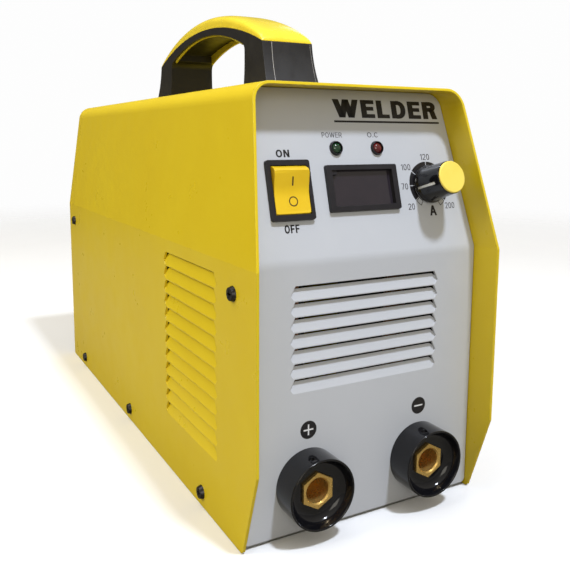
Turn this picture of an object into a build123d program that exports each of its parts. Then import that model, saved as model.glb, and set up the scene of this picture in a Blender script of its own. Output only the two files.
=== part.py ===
from build123d import *
from math import asin, atan2, cos, degrees, pi, radians, sin, sqrt, tan
import os

os.makedirs("parts", exist_ok=True)

# Portable stick welding inverter. Millimetres, +Z up, front towards -Y.
# The origin is the middle of the underside of the base plate.
# Depths called y below are measured back from the foremost edge of the cover;
# fy() turns them into the model's own Y.

# ---------------------------------------------------------------- case sizes
W = 155.0            # width over the cover
H = 240.0            # height of the cover
L = 398.0            # length of the cover
T = 1.5              # sheet thickness
Y_MID = 199.0        # depth of the origin behind the front edge
Z_CREASE = 149.5     # height where the cover's sides start to lean inward
LEAN_IN = 10.5       # how far each side has leaned in at the top
Z_KNEE = 48.0        # lower bend of the cover's front edge
Y_TOE = 16.0         # set-back of the front edge at the floor
Y_TOP_F = 25.0       # set-back of the front edge at the top
Y_TOP_R = 385.0      # rear edge at the top
R_TOP = 11.0         # rounding between side and top
GAP = 0.3            # gap between panels and cover

REC = 18.0           # front panel recess behind the cover's front edge
Z_BEND = 149.0       # bend of the front panel
BEND_R = 17.0        # outer radius of that bend
Y_REAR = 390.0       # rear panel outer face
Z_SILL = 2.0         # lower edge of the two panels

# louvres
LV_N, LV_PITCH, LV_TOP = 7, 8.27, 136.8          # front panel rows
LV_X_TOP, LV_X_LOW, LV_CUT = 46.0, 48.6, 7.7     # half widths and cut height
LS_N, LS_PITCH, LS_TOP = 12, 8.84, 141.6         # cover side rows
LS_Y, LS_H_TOP, LS_H_LOW, LS_CUT = 87.6, 37.6, 41.0, 8.1
LV_TILT = 19.0                                   # inward tilt of each flap
LV_GAP, LS_GAP = 1.25, 0.8                       # gap above each flap, measured along it

# controls on the slanted part of the front panel: x, and w measured up the slope
SW_X, SW_W = -44.2, 37.4
SW_BEZEL = (26.0, 32.0)
DISP_X, DISP_W = 1.8, 37.4
DISP_BEZEL = (46.8, 25.8)
DISP_WIN = (39.6, 19.6)
LED_X, LED_W = 13.6, 59.6
KNOB_X, KNOB_W = 48.2, 38.0
KNOB_H, KNOB_R, KNOB_SKIRT = 20.3, 9.9, 11.1
KNOB_POINT = 194.0                               # pointer direction at rest

# output sockets
SOCK_X, SOCK_Z, SOCK_R, SOCK_Y = 37.3, 28.6, 19.5, 2.0
BORE_R, BORE_LEN = 6.75, 22.0

# handle
HAN_X, HAN_Y = -1.4, 199.0
HAN_HALF, HAN_FOOT = 17.9, 19.4                  # half width at the grip and at the feet

# fan
FAN_Z, FAN_SIZE, FAN_D = 78.0, 120.0, 38.0

LEAN = atan2(LEAN_IN, H - Z_CREASE)
SLANT_F = atan2(Y_TOP_F, H - Z_CREASE)
SLANT_R = atan2(L - Y_TOP_R, H - Z_CREASE)


def fy(y):
    # depth behind the front edge -> model Y
    return y - Y_MID


def half_width(z, inset):
    # half width at height z of a surface that lies inset inside the cover's skin
    return min(W / 2 - inset, W / 2 - inset / cos(LEAN) - (z - Z_CREASE) * tan(LEAN))


def front_plane(y):
    # upright plane across the machine: local x = X, local y = Z, normal forward
    return Plane(origin=(0, fy(y), 0), x_dir=(1, 0, 0), z_dir=(0, -1, 0))


def side_plane(x):
    # upright plane along the machine: local x = depth y, local y = Z, normal +X
    return Plane(origin=(x, fy(0), 0), x_dir=(0, 1, 0), z_dir=(1, 0, 0))


def panel_plane(n=0.0):
    # slanted part of the front panel: local x = X, local y = w up the slope
    out = Vector(0, -cos(SLANT_F), sin(SLANT_F))
    return Plane(origin=Vector(0, fy(REC), Z_BEND) + out * n, x_dir=(1, 0, 0), z_dir=out)


def rear_plane(n=0.0):
    # slanted part of the rear panel: local x = -X, local y = up the slope, normal rearward
    out = Vector(0, cos(SLANT_R), sin(SLANT_R))
    return Plane(origin=Vector(0, fy(Y_REAR), Z_CREASE) + out * n, x_dir=(-1, 0, 0), z_dir=out)


def section(inset, z0, z1):
    # cross-section corner points of the case at a given inset
    zc = Z_CREASE - inset * (1 / cos(LEAN) - 1) / tan(LEAN)
    right = [(half_width(z0, inset), z0), (half_width(zc, inset), zc), (half_width(z1, inset), z1)]
    return right + [(-x, z) for x, z in reversed(right)]


def write(part, name):
    part.label = name
    export_step(part, "parts/" + name + ".step")


# ---------------------------------------------------------------- louvres
def louvre_cut(top, low, z0, z1):
    # opening that widens downwards and closes in again at its lower corners
    return [(-top, z1), (top, z1), (low, z0 + 2.6), (low - 2.1, z0), (2.1 - low, z0), (-low, z0 + 2.6)]


def louvre_flap(top, low, rise):
    # flap whose lower part runs behind the edge of the opening
    return [(low - 1.7, 0), (low + 0.7, 2.4), (low + 0.3, rise * 0.62), (top - 0.35, rise),
            (0.35 - top, rise), (-low - 0.3, rise * 0.62), (-low - 0.7, 2.4), (1.7 - low, 0)]


# ---------------------------------------------------------------- cover
COVER_SIDE = [(Y_TOE, 0), (0, Z_KNEE), (0, Z_CREASE), (Y_TOP_F, H), (Y_TOP_R, H), (L, Z_CREASE), (L, 0)]
COVER_SCREWS = [(69.7, 8.7), (210.7, 8.7), (351.6, 8.7), (26.1, 134.7), (377.9, 134.7)]
HANDLE_SCREWS = [(HAN_X + s * 9.0, HAN_Y + e * 85.0) for s in (-1, 1) for e in (-1, 1)]

with BuildPart() as cover:
    with BuildSketch(front_plane(-2)) as s:
        Polygon(*section(0, -6, H), align=None)
        fillet(s.vertices().group_by(Axis.Y)[-1], R_TOP)
    extrude(amount=-(L + 4))
    with BuildSketch(front_plane(-3)) as s:
        Polygon(*section(T, -7, H - T), align=None)
        fillet(s.vertices().group_by(Axis.Y)[-1], R_TOP - T)
    extrude(amount=-(L + 6), mode=Mode.SUBTRACT)
    with BuildSketch(side_plane(-W / 2 - 5)) as s:
        Polygon(*COVER_SIDE, align=None)
        fillet(s.vertices().group_by(Axis.Y)[0].sort_by(Axis.X)[0], 3.0)
    extrude(amount=W + 10, mode=Mode.INTERSECT)
    # louvre openings through both sides
    with BuildSketch(side_plane(-W / 2 - 2)):
        for i in range(LS_N):
            z1 = LS_TOP - i * LS_PITCH
            z0 = z1 - LS_CUT
            Polygon(*[(LS_Y + u, v) for u, v in louvre_cut(LS_H_TOP, LS_H_LOW, z0, z1)], align=None)
    extrude(amount=W + 4, mode=Mode.SUBTRACT)
    # flaps, bent inward about their lower edge
    for sx in (1, -1):
        for i in range(LS_N):
            z0 = LS_TOP - i * LS_PITCH - LS_CUT
            t = radians(LV_TILT)
            flap = Plane(origin=(sx * W / 2, fy(LS_Y), z0), x_dir=(0, 1, 0),
                         z_dir=(sx * cos(t), 0, sin(t)))
            up = 1 if flap.y_dir.Z > 0 else -1
            with BuildSketch(flap):
                Polygon(*[(u, v * up) for u, v in louvre_flap(LS_H_TOP, LS_H_LOW, LS_CUT - LS_GAP)], align=None)
            extrude(amount=-T * 0.8)
    # holes: side screws, handle screws
    with BuildSketch(side_plane(-W / 2 - 2)):
        with Locations(*COVER_SCREWS):
            Circle(2.2)
    extrude(amount=W + 4, mode=Mode.SUBTRACT)
    with BuildSketch(Plane.XY.offset(H - T - 1)):
        with Locations(*[(x, fy(y)) for x, y in HANDLE_SCREWS]):
            Circle(2.7)
    extrude(amount=T + 2, mode=Mode.SUBTRACT)
write(cover.part, "cover")

# side screws: pan heads with a cross recess
with BuildPart() as cover_screws:
    for sx in (1, -1):
        pl = Plane(origin=(sx * W / 2, fy(0), 0), x_dir=(0, sx, 0), z_dir=(sx, 0, 0))
        spots = [(sx * y, z) for y, z in COVER_SCREWS]
        with BuildSketch(pl):
            with Locations(*spots):
                Circle(4.1)
        extrude(amount=2.1, taper=18)
        with BuildSketch(pl):
            with Locations(*spots):
                Circle(1.95)
        extrude(amount=-8.0)
        with BuildSketch(pl.offset(2.2)):
            with Locations(*spots):
                Rectangle(4.2, 0.9)
                Rectangle(0.9, 4.2)
        extrude(amount=-1.4, mode=Mode.SUBTRACT)
write(cover_screws.part, "cover_screws")

# ---------------------------------------------------------------- front panel
IN = T + GAP
Z_TOPP = H - IN
TF, TR = tan(SLANT_F), tan(SLANT_R)
F_OUT = [(REC, Z_SILL), (REC, Z_BEND), (REC + (Z_TOPP - Z_BEND) * TF, Z_TOPP)]
F_IN = [(y + T / cos(SLANT_F) if z > Z_BEND else y + T, z) for y, z in F_OUT]
F_IN[1] = (REC + T, Z_BEND - T * tan(SLANT_F / 2))
with BuildPart() as front_panel:
    with BuildSketch(side_plane(-W / 2)) as s:
        Polygon(*(F_OUT + F_IN[::-1]), align=None)
        fillet([v for v in s.vertices() if abs(v.Y - Z_BEND) < 0.8 and v.X < REC + 0.5], BEND_R)
        fillet([v for v in s.vertices() if abs(v.Y - Z_BEND) < 0.8 and v.X > REC + 0.5], BEND_R - T)
    extrude(amount=W)
    with BuildSketch(front_plane(-2)) as s:
        Polygon(*section(IN, Z_SILL, Z_TOPP), align=None)
        fillet(s.vertices().group_by(Axis.Y)[-1], R_TOP - IN)
        fillet(s.vertices().group_by(Axis.Y)[0], 3.0)
    extrude(amount=-80, mode=Mode.INTERSECT)
    # side flanges behind the panel
    for sx in (1, -1):
        with BuildSketch(side_plane(sx * (W / 2 - IN))):
            Polygon((REC + 0.5, 20), (REC + 16, 20), (REC + 16, 143), (REC + 0.5, 143), align=None)
        extrude(amount=-sx * T)
    with BuildSketch(side_plane(-W / 2)):
        with Locations(COVER_SCREWS[3]):
            Circle(2.0)
    extrude(amount=W, mode=Mode.SUBTRACT)
    # louvres
    with BuildSketch(front_plane(REC - 1)):
        for i in range(LV_N):
            z1 = LV_TOP - i * LV_PITCH
            z0 = z1 - LV_CUT
            Polygon(*louvre_cut(LV_X_TOP, LV_X_LOW, z0, z1), align=None)
    extrude(amount=-(T + 2), mode=Mode.SUBTRACT)
    for i in range(LV_N):
        z0 = LV_TOP - i * LV_PITCH - LV_CUT
        t = radians(LV_TILT)
        flap = Plane(origin=(0, fy(REC), z0), x_dir=(1, 0, 0), z_dir=(0, -cos(t), sin(t)))
        with BuildSketch(flap):
            Polygon(*louvre_flap(LV_X_TOP, LV_X_LOW, LV_CUT - LV_GAP), align=None)
        extrude(amount=-T * 0.8)
    # socket holes
    with BuildSketch(front_plane(REC - 1)):
        with Locations((-SOCK_X, SOCK_Z), (SOCK_X, SOCK_Z)):
            Circle(14.2)
    extrude(amount=-(T + 2), mode=Mode.SUBTRACT)
    # cut-outs in the slanted part
    with BuildSketch(panel_plane(1)):
        with Locations((SW_X, SW_W)):
            Rectangle(24.7, 30.3)
        with Locations((DISP_X, DISP_W)):
            Rectangle(DISP_BEZEL[0] - 3.8, DISP_BEZEL[1] - 3.8)
        with Locations((DISP_X - 0.4 - LED_X, LED_W), (DISP_X - 0.4 + LED_X, LED_W)):
            Circle(3.9)
        with Locations((KNOB_X, KNOB_W)):
            Circle(3.8)
    extrude(amount=-(T + 2), mode=Mode.SUBTRACT)
write(front_panel.part, "front_panel")

# ---------------------------------------------------------------- rear panel
R_OUT = [(Y_REAR, Z_SILL), (Y_REAR, Z_CREASE), (Y_REAR - (Z_TOPP - Z_CREASE) * TR, Z_TOPP)]
R_IN = [(Y_REAR - T, Z_SILL), (Y_REAR - T, Z_CREASE - T * tan(SLANT_R / 2)), (R_OUT[2][0] - T / cos(SLANT_R), Z_TOPP)]
GLAND_X, GLAND_W = 34.0, 46.0
STUD_X, STUD_W = -44.0, 40.0
FAN_HOLES = [(sx * 52.5, FAN_Z + sz * 52.5) for sx in (1, -1) for sz in (1, -1)]
with BuildPart() as rear_panel:
    with BuildSketch(side_plane(-W / 2)):
        Polygon(*(R_OUT + R_IN[::-1]), align=None)
    extrude(amount=W)
    with BuildSketch(front_plane(360)) as s:
        Polygon(*section(IN, Z_SILL, Z_TOPP), align=None)
        fillet(s.vertices().group_by(Axis.Y)[-1], R_TOP - IN)
        fillet(s.vertices().group_by(Axis.Y)[0], 3.0)
    extrude(amount=-60, mode=Mode.INTERSECT)
    for sx in (1, -1):
        with BuildSketch(side_plane(sx * (W / 2 - IN))):
            Polygon((Y_REAR - 16, 20), (Y_REAR - 0.5, 20), (Y_REAR - 0.5, 143), (Y_REAR - 16, 143), align=None)
        extrude(amount=-sx * T)
    with BuildSketch(side_plane(-W / 2)):
        with Locations(COVER_SCREWS[4]):
            Circle(2.0)
    extrude(amount=W, mode=Mode.SUBTRACT)
    with BuildSketch(front_plane(Y_REAR + 1)):
        with Locations((0, FAN_Z)):
            Circle(57)
        with Locations(*FAN_HOLES):
            Circle(2.2)
    extrude(amount=T + 2, mode=Mode.SUBTRACT)
    with BuildSketch(rear_plane(1)):
        with Locations((GLAND_X, GLAND_W)):
            Circle(11.2)
        with Locations((STUD_X, STUD_W)):
            Circle(4.2)
    extrude(amount=-(T + 2), mode=Mode.SUBTRACT)
write(rear_panel.part, "rear_panel")

# ---------------------------------------------------------------- base plate
BX = W / 2 - IN
with BuildPart() as base_plate:
    with BuildSketch(Plane.XY):
        with Locations((0, fy((REC + T + Y_REAR - T) / 2))):
            Rectangle(2 * BX, Y_REAR - REC - 2 * T)
    extrude(amount=T)
    # turned-up edges: sides, front and rear
    with BuildSketch(Plane.XY):
        with Locations(*[(sx * (BX - T / 2), fy(Y_MID + 5)) for sx in (1, -1)]):
            Rectangle(T, 320)
    extrude(amount=16)
    with BuildSketch(Plane.XY):
        with Locations((0, fy(REC + 1.5 * T)), (0, fy(Y_REAR - 1.5 * T))):
            Rectangle(2 * BX - 40, T)
    extrude(amount=9)
    with BuildSketch(side_plane(-W / 2)):
        with Locations(*COVER_SCREWS[:3]):
            Circle(2.0)
    extrude(amount=W, mode=Mode.SUBTRACT)
write(base_plate.part, "base_plate")

# ---------------------------------------------------------------- handle
def arc3(half, z_end, z_mid, rev=False):
    # three points of a bow over the handle: ends at +-half, crown at the middle
    pts = [(HAN_Y - half, z_end), (HAN_Y, z_mid), (HAN_Y + half, z_end)]
    return pts[::-1] if rev else pts


CAP_LOW = (92.5, 271.3, 289.3)     # joint line between body and cap
CAP_TOP = (91.0, 276.6, 298.6)
OPEN_TOP = (67.6, 271.6, 284.8)    # crown of the finger gap
POCKET = (62.0, 279.5, 287.4)      # roof of the hollow along the underside

with BuildPart() as handle_body:
    with BuildSketch(side_plane(HAN_X - HAN_FOOT)) as s:
        with BuildLine():
            Line((HAN_Y - 68.6, H), (HAN_Y - 103, H))
            ThreePointArc((HAN_Y - 103, H), (HAN_Y - 96.7, 254.5), (HAN_Y - CAP_LOW[0], CAP_LOW[1]))
            ThreePointArc(*arc3(*CAP_LOW))
            ThreePointArc((HAN_Y + CAP_LOW[0], CAP_LOW[1]), (HAN_Y + 96.7, 254.5), (HAN_Y + 103, H))
            Polyline((HAN_Y + 103, H), (HAN_Y + 68.6, H), (HAN_Y + OPEN_TOP[0], OPEN_TOP[1]))
            ThreePointArc(*arc3(*OPEN_TOP, rev=True))
            Line((HAN_Y - OPEN_TOP[0], OPEN_TOP[1]), (HAN_Y - 68.6, H))
        make_face()
        fillet([v for v in s.vertices() if abs(abs(v.X - HAN_Y) - OPEN_TOP[0]) < 0.5 and abs(v.Y - OPEN_TOP[1]) < 0.5], 5.0)
    extrude(amount=2 * HAN_FOOT)
    # the feet spread sideways
    with BuildSketch(front_plane(HAN_Y - 110)):
        with BuildLine():
            ThreePointArc((HAN_X + HAN_FOOT, H), (HAN_X + HAN_HALF + 0.45, 252), (HAN_X + HAN_HALF, 266))
            Polyline((HAN_X + HAN_HALF, 266), (HAN_X + HAN_HALF, 305), (HAN_X - HAN_HALF, 305), (HAN_X - HAN_HALF, 266))
            ThreePointArc((HAN_X - HAN_HALF, 266), (HAN_X - HAN_HALF - 0.45, 252), (HAN_X - HAN_FOOT, H))
            Line((HAN_X - HAN_FOOT, H), (HAN_X + HAN_FOOT, H))
        make_face()
    extrude(amount=-220, mode=Mode.INTERSECT)
    # hollow along the underside, wide enough for the lining
    with BuildSketch(side_plane(HAN_X - 16.5)):
        with BuildLine():
            ThreePointArc(*arc3(*POCKET))
            Line((HAN_Y + POCKET[0], POCKET[1]), (HAN_Y + POCKET[0], 262))
            Line((HAN_Y + POCKET[0], 262), (HAN_Y - POCKET[0], 262))
            Line((HAN_Y - POCKET[0], 262), (HAN_Y - POCKET[0], POCKET[1]))
        make_face()
    extrude(amount=33.0, mode=Mode.SUBTRACT)
    with BuildSketch(Plane.XY.offset(H - 1)):
        with Locations(*[(x, fy(y)) for x, y in HANDLE_SCREWS]):
            Circle(2.5)
    extrude(amount=17, mode=Mode.SUBTRACT)
write(handle_body.part, "handle_body")

with BuildPart() as handle_cap:
    with BuildSketch(side_plane(HAN_X - HAN_HALF)):
        with BuildLine():
            ThreePointArc(*arc3(*CAP_LOW))
            Line((HAN_Y + CAP_LOW[0], CAP_LOW[1]), (HAN_Y + CAP_TOP[0], CAP_TOP[1]))
            ThreePointArc(*arc3(*CAP_TOP, rev=True))
            Line((HAN_Y - CAP_TOP[0], CAP_TOP[1]), (HAN_Y - CAP_LOW[0], CAP_LOW[1]))
        make_face()
    extrude(amount=2 * HAN_HALF)
    top = handle_cap.faces().sort_by(Axis.Z)[-1]
    fillet(top.edges(), 3.6)
write(handle_cap.part, "handle_cap")

with BuildPart() as handle_lining:
    for sx in (1, -1):
        with BuildSketch(side_plane(HAN_X + sx * 15.1)):
            with BuildLine():
                ThreePointArc(*arc3(POCKET[0], POCKET[1], POCKET[2]))
                Line((HAN_Y + POCKET[0], POCKET[1]), (HAN_Y + POCKET[0], 272.2))
                ThreePointArc(*arc3(POCKET[0], 272.2, 284.1, rev=True))
                Line((HAN_Y - POCKET[0], 272.2), (HAN_Y - POCKET[0], POCKET[1]))
            make_face()
        extrude(amount=sx * 1.4)
write(handle_lining.part, "handle_lining")

with BuildPart() as handle_screws:
    with BuildSketch(Plane.XY.offset(H - T)):
        with Locations(*[(x, fy(y)) for x, y in HANDLE_SCREWS]):
            Circle(5.0)
    extrude(amount=-3.2, taper=8)
    with BuildSketch(Plane.XY.offset(H - T)):
        with Locations(*[(x, fy(y)) for x, y in HANDLE_SCREWS]):
            Circle(2.45)
    extrude(amount=16)
write(handle_screws.part, "handle_screws")

# ---------------------------------------------------------------- power switch
# Profile in the plane through the rocker's middle: local x = w along the slope
# measured from the switch centre, local y = height n above the panel face.
SW_FACE = 2.2          # bezel thickness
PIV_N = -4.0           # rocker pivot below the panel face
ROCK_HALF, ROCK_RISE, ROCK_TILT = 11.2, 8.0, 10.0
ROCK_R = sqrt(ROCK_HALF ** 2 + ROCK_RISE ** 2)


def switch_plane(x):
    out = Vector(0, -cos(SLANT_F), sin(SLANT_F))
    up = Vector(0, sin(SLANT_F), cos(SLANT_F))
    o = Vector(0, fy(REC), Z_BEND) + up * SW_W
    return Plane(origin=Vector(x, o.Y, o.Z), x_dir=up, z_dir=up.cross(out))


PIVOT_R = 1.5
with BuildPart() as switch_housing:
    with BuildSketch(panel_plane(0)):
        with Locations((SW_X, SW_W)):
            RectangleRounded(SW_BEZEL[0], SW_BEZEL[1], 1.6)
    extrude(amount=SW_FACE, taper=6)
    with BuildSketch(panel_plane(0)):
        with Locations((SW_X, SW_W)):
            RectangleRounded(24.4, 30.0, 1.0)
    extrude(amount=-25)
    # rocker cavity: a drum about the pivot, opened to the front
    with BuildSketch(switch_plane(SW_X + 10.65)) as s:
        with Locations((0, PIV_N)):
            Circle(ROCK_R + 0.35)
    sgn = 1 if switch_plane(0).z_dir.X > 0 else -1
    extrude(amount=-sgn * 21.3, mode=Mode.SUBTRACT)
    with BuildSketch(panel_plane(SW_FACE + 1)):
        with Locations((SW_X, SW_W)):
            Rectangle(21.3, 2 * 12.9)
    extrude(amount=-5.5, mode=Mode.SUBTRACT)
    with BuildSketch(switch_plane(SW_X + 11.9)):
        with Locations((0, PIV_N)):
            Circle(PIVOT_R + 0.05)
    extrude(amount=-sgn * 23.8, mode=Mode.SUBTRACT)
write(switch_housing.part, "switch_housing")

tilt = radians(ROCK_TILT)


def turned(p, a):
    return (p[0] * cos(a) - p[1] * sin(a), p[0] * sin(a) + p[1] * cos(a) + PIV_N)


# rocker resting with its lower half pressed in: lower half flush, upper half raised
low_end = turned((-ROCK_HALF, ROCK_RISE), tilt)
mid_pt = turned((0, ROCK_RISE - ROCK_HALF * tan(tilt)), tilt)
top_end = turned((ROCK_HALF, ROCK_RISE), tilt)
foot_a = turned((-ROCK_R * cos(radians(14)), -ROCK_R * sin(radians(14))), tilt)
foot_b = turned((ROCK_R * cos(radians(14)), -ROCK_R * sin(radians(14))), tilt)
with BuildPart() as switch_rocker:
    with BuildSketch(switch_plane(SW_X + 10.3)):
        with BuildLine():
            Polyline(low_end, mid_pt, top_end)
            ThreePointArc(top_end, turned((ROCK_R * cos(radians(10)), ROCK_R * sin(radians(10))), tilt), foot_b)
            Line(foot_b, foot_a)
            ThreePointArc(foot_a, turned((-ROCK_R * cos(radians(10)), ROCK_R * sin(radians(10))), tilt), low_end)
        make_face()
    extrude(amount=-sgn * 20.6)
    with BuildSketch(switch_plane(SW_X + 11.7)):
        with Locations((0, PIV_N)):
            Circle(PIVOT_R)
    extrude(amount=-sgn * 23.4)
write(switch_rocker.part, "switch_rocker")

with BuildPart() as switch_terminals:
    with BuildSketch(panel_plane(-25)):
        with Locations((SW_X, SW_W)):
            with GridLocations(11.6, 17, 2, 2):
                Rectangle(6.3, 0.8)
    extrude(amount=-9.5)
write(switch_terminals.part, "switch_terminals")

# ---------------------------------------------------------------- meter
with BuildPart() as display_bezel:
    with BuildSketch(panel_plane(0)):
        with Locations((DISP_X, DISP_W)):
            RectangleRounded(DISP_BEZEL[0], DISP_BEZEL[1], 1.2)
    extrude(amount=2.2, taper=8)
    with BuildSketch(panel_plane(0)):
        with Locations((DISP_X, DISP_W)):
            Rectangle(DISP_BEZEL[0] - 4.2, DISP_BEZEL[1] - 4.2)
    extrude(amount=-9)
    with BuildSketch(panel_plane(3)):
        with Locations((DISP_X, DISP_W)):
            Rectangle(DISP_WIN[0], DISP_WIN[1])
    extrude(amount=-20, mode=Mode.SUBTRACT)
    # small moulded key in the upper left corner of the opening
    with BuildSketch(panel_plane(-0.3)):
        with Locations((DISP_X - DISP_WIN[0] / 2 + 1.6, DISP_W + DISP_WIN[1] / 2 - 1.1)):
            Rectangle(3.6, 2.6)
    extrude(amount=1.6)
write(display_bezel.part, "display_bezel")

with BuildPart() as display_window:
    with BuildSketch(panel_plane(-0.4)):
        with Locations((DISP_X, DISP_W)):
            Rectangle(DISP_WIN[0], DISP_WIN[1])
    extrude(amount=-1.5)
write(display_window.part, "display_window")

BOARD_N = -15.0        # front face of the control board, parallel to the panel
with BuildPart() as display_digits:
    with BuildSketch(panel_plane(BOARD_N)):
        with Locations((DISP_X, DISP_W)):
            with GridLocations(12.4, 0, 3, 1):
                Rectangle(12.2, 17)
    extrude(amount=8.0)
write(display_digits.part, "display_digits")

# ---------------------------------------------------------------- indicator lamps
LEDS = {"green": DISP_X - 0.4 - LED_X, "red": DISP_X - 0.4 + LED_X}
with BuildPart() as led_holders:
    with BuildSketch(panel_plane(0)):
        with Locations(*[(x, LED_W) for x in LEDS.values()]):
            Circle(4.1)
    extrude(amount=1.5, taper=18)
    with BuildSketch(panel_plane(0)):
        with Locations(*[(x, LED_W) for x in LEDS.values()]):
            Circle(3.8)
    extrude(amount=-6)
    with BuildSketch(panel_plane(3)):
        with Locations(*[(x, LED_W) for x in LEDS.values()]):
            Circle(3.3)
    extrude(amount=-12, mode=Mode.SUBTRACT)
write(led_holders.part, "led_holders")


def lamp(x):
    # lamp: rim, cylinder and domed tip, with its legs down to the board
    out = panel_plane(0).z_dir
    with BuildPart() as led:
        with BuildSketch(panel_plane(-6.2)):
            with Locations((x, LED_W)):
                Circle(3.6)
        extrude(amount=-1.0)
        with BuildSketch(panel_plane(-6.3)):
            with Locations((x, LED_W)):
                Circle(3.25)
        extrude(amount=8.3)
        tip = led.faces().sort_by(Axis((0, 0, 0), tuple(out)))[-1]
        fillet(tip.edges(), 2.7)
        with BuildSketch(panel_plane(-7.0)):
            with Locations((x - 1.27, LED_W), (x + 1.27, LED_W)):
                Rectangle(0.6, 0.6)
        extrude(amount=-(-7.0 - BOARD_N))
    return led.part


write(lamp(LEDS["green"]), "led_green")
write(lamp(LEDS["red"]), "led_red")

# ---------------------------------------------------------------- control board
with BuildPart() as control_board:
    with BuildSketch(panel_plane(BOARD_N)):
        with Locations((18, 41)):
            Rectangle(92, 62)
    extrude(amount=-1.6)
    with BuildSketch(panel_plane(BOARD_N + 1)):
        with Locations((KNOB_X, KNOB_W)):
            Circle(3.4)
    extrude(amount=-4, mode=Mode.SUBTRACT)
write(control_board.part, "control_board")

with BuildPart() as board_chips:
    with BuildSketch(panel_plane(BOARD_N - 1.6)):
        with Locations((-8, 26), (12, 26), (-8, 48)):
            Rectangle(9, 6)
        with Locations((14, 50)):
            Rectangle(12, 12)
        with Locations((36, 64)):
            Rectangle(30, 7)
    extrude(amount=-2.4)
write(board_chips.part, "board_chips")

# ---------------------------------------------------------------- current knob
with BuildPart() as pot_body:
    with BuildSketch(panel_plane(-T - 1.2)):
        with Locations((KNOB_X, KNOB_W)):
            Circle(8.0)
    extrude(amount=-(-T - 1.2 - BOARD_N))
    with BuildSketch(panel_plane(-T - 1.3)):
        with Locations((KNOB_X, KNOB_W)):
            Circle(3.5)
    extrude(amount=T + 1.3 + 4.5)
    with BuildSketch(panel_plane(6)):
        with Locations((KNOB_X, KNOB_W)):
            Circle(3.05)
    extrude(amount=-18, mode=Mode.SUBTRACT)
write(pot_body.part, "pot_body")

with BuildPart() as pot_nut:
    with BuildSketch(panel_plane(0)):
        with Locations((KNOB_X, KNOB_W)):
            RegularPolygon(5.2, 6)
            Circle(3.52, mode=Mode.SUBTRACT)
    extrude(amount=2.2)
write(pot_nut.part, "pot_nut")

with BuildPart() as pot_shaft:
    with BuildSketch(panel_plane(-11.5)):
        with Locations((KNOB_X, KNOB_W)):
            Circle(3.0)
    extrude(amount=11.5 + 16)
write(pot_shaft.part, "pot_shaft")

KNOB_AXIS_PLANE = Plane(origin=panel_plane(0).from_local_coords(Vector(KNOB_X, KNOB_W, 0)),
                        x_dir=(1, 0, 0), z_dir=panel_plane(0).y_dir * -1)
# in this plane local x is the radius and local y runs along the shaft, outward
ax = 1 if KNOB_AXIS_PLANE.y_dir.dot(panel_plane(0).z_dir) > 0 else -1
KNOB_LINE = Axis(KNOB_AXIS_PLANE.origin, panel_plane(0).z_dir)


def r_n(*pts):
    return [(r, ax * n) for r, n in pts]


with BuildPart() as knob_body:
    with BuildSketch(KNOB_AXIS_PLANE):
        with BuildLine():
            Polyline(*r_n((6.4, 0.8), (KNOB_SKIRT - 0.3, 0.8), (KNOB_SKIRT, 1.1), (KNOB_SKIRT, 1.9), (KNOB_SKIRT - 0.25, 2.3), (KNOB_R + 0.35, 3.6), (KNOB_R + 0.15, 5.0), (KNOB_R - 0.6, KNOB_H - 1.6),
                          (9.0, KNOB_H - 0.9), (9.0, KNOB_H - 2.6), (3.0, KNOB_H - 2.6), (3.0, 5.2), (6.4, 5.2)), close=True)
        make_face()
    revolve(axis=KNOB_LINE)
    # groove for the pointer
    a = radians(KNOB_POINT)
    o = panel_plane(0).from_local_coords(Vector(KNOB_X, KNOB_W, 0))
    radial = panel_plane(0).x_dir * cos(a) + panel_plane(0).y_dir * sin(a)
    with BuildSketch(Plane(origin=o + radial * 14, x_dir=panel_plane(0).z_dir, z_dir=radial)):
        with Locations((8.5, 0)):
            Rectangle(14.2, 1.4)
    extrude(amount=-(14 - KNOB_R + 0.75), mode=Mode.SUBTRACT)
write(knob_body.part, "knob_body")

with BuildPart() as knob_pointer:
    with BuildSketch(Plane(origin=o + radial * (KNOB_R - 0.25), x_dir=panel_plane(0).z_dir, z_dir=radial)):
        with Locations((8.5, 0)):
            Rectangle(14.2, 1.4)
    extrude(amount=-0.5)
write(knob_pointer.part, "knob_pointer")

with BuildPart() as knob_cap:
    with BuildSketch(KNOB_AXIS_PLANE):
        with BuildLine():
            Polyline(*r_n((0, KNOB_H - 2.6), (8.95, KNOB_H - 2.6), (8.95, KNOB_H - 0.6)))
            ThreePointArc(*r_n((8.95, KNOB_H - 0.6), (8.75, KNOB_H - 0.15), (8.3, KNOB_H)))
            Polyline(*r_n((8.3, KNOB_H), (0, KNOB_H), (0, KNOB_H - 2.6)))
        make_face()
    revolve(axis=KNOB_LINE)
write(knob_cap.part, "knob_cap")

# ---------------------------------------------------------------- output sockets
def across(x, z):
    # horizontal plane through a socket's axis: local x = radius, local y = depth
    return Plane(origin=(x, fy(0), z), x_dir=(1, 0, 0), z_dir=(0, 0, 1))


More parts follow.
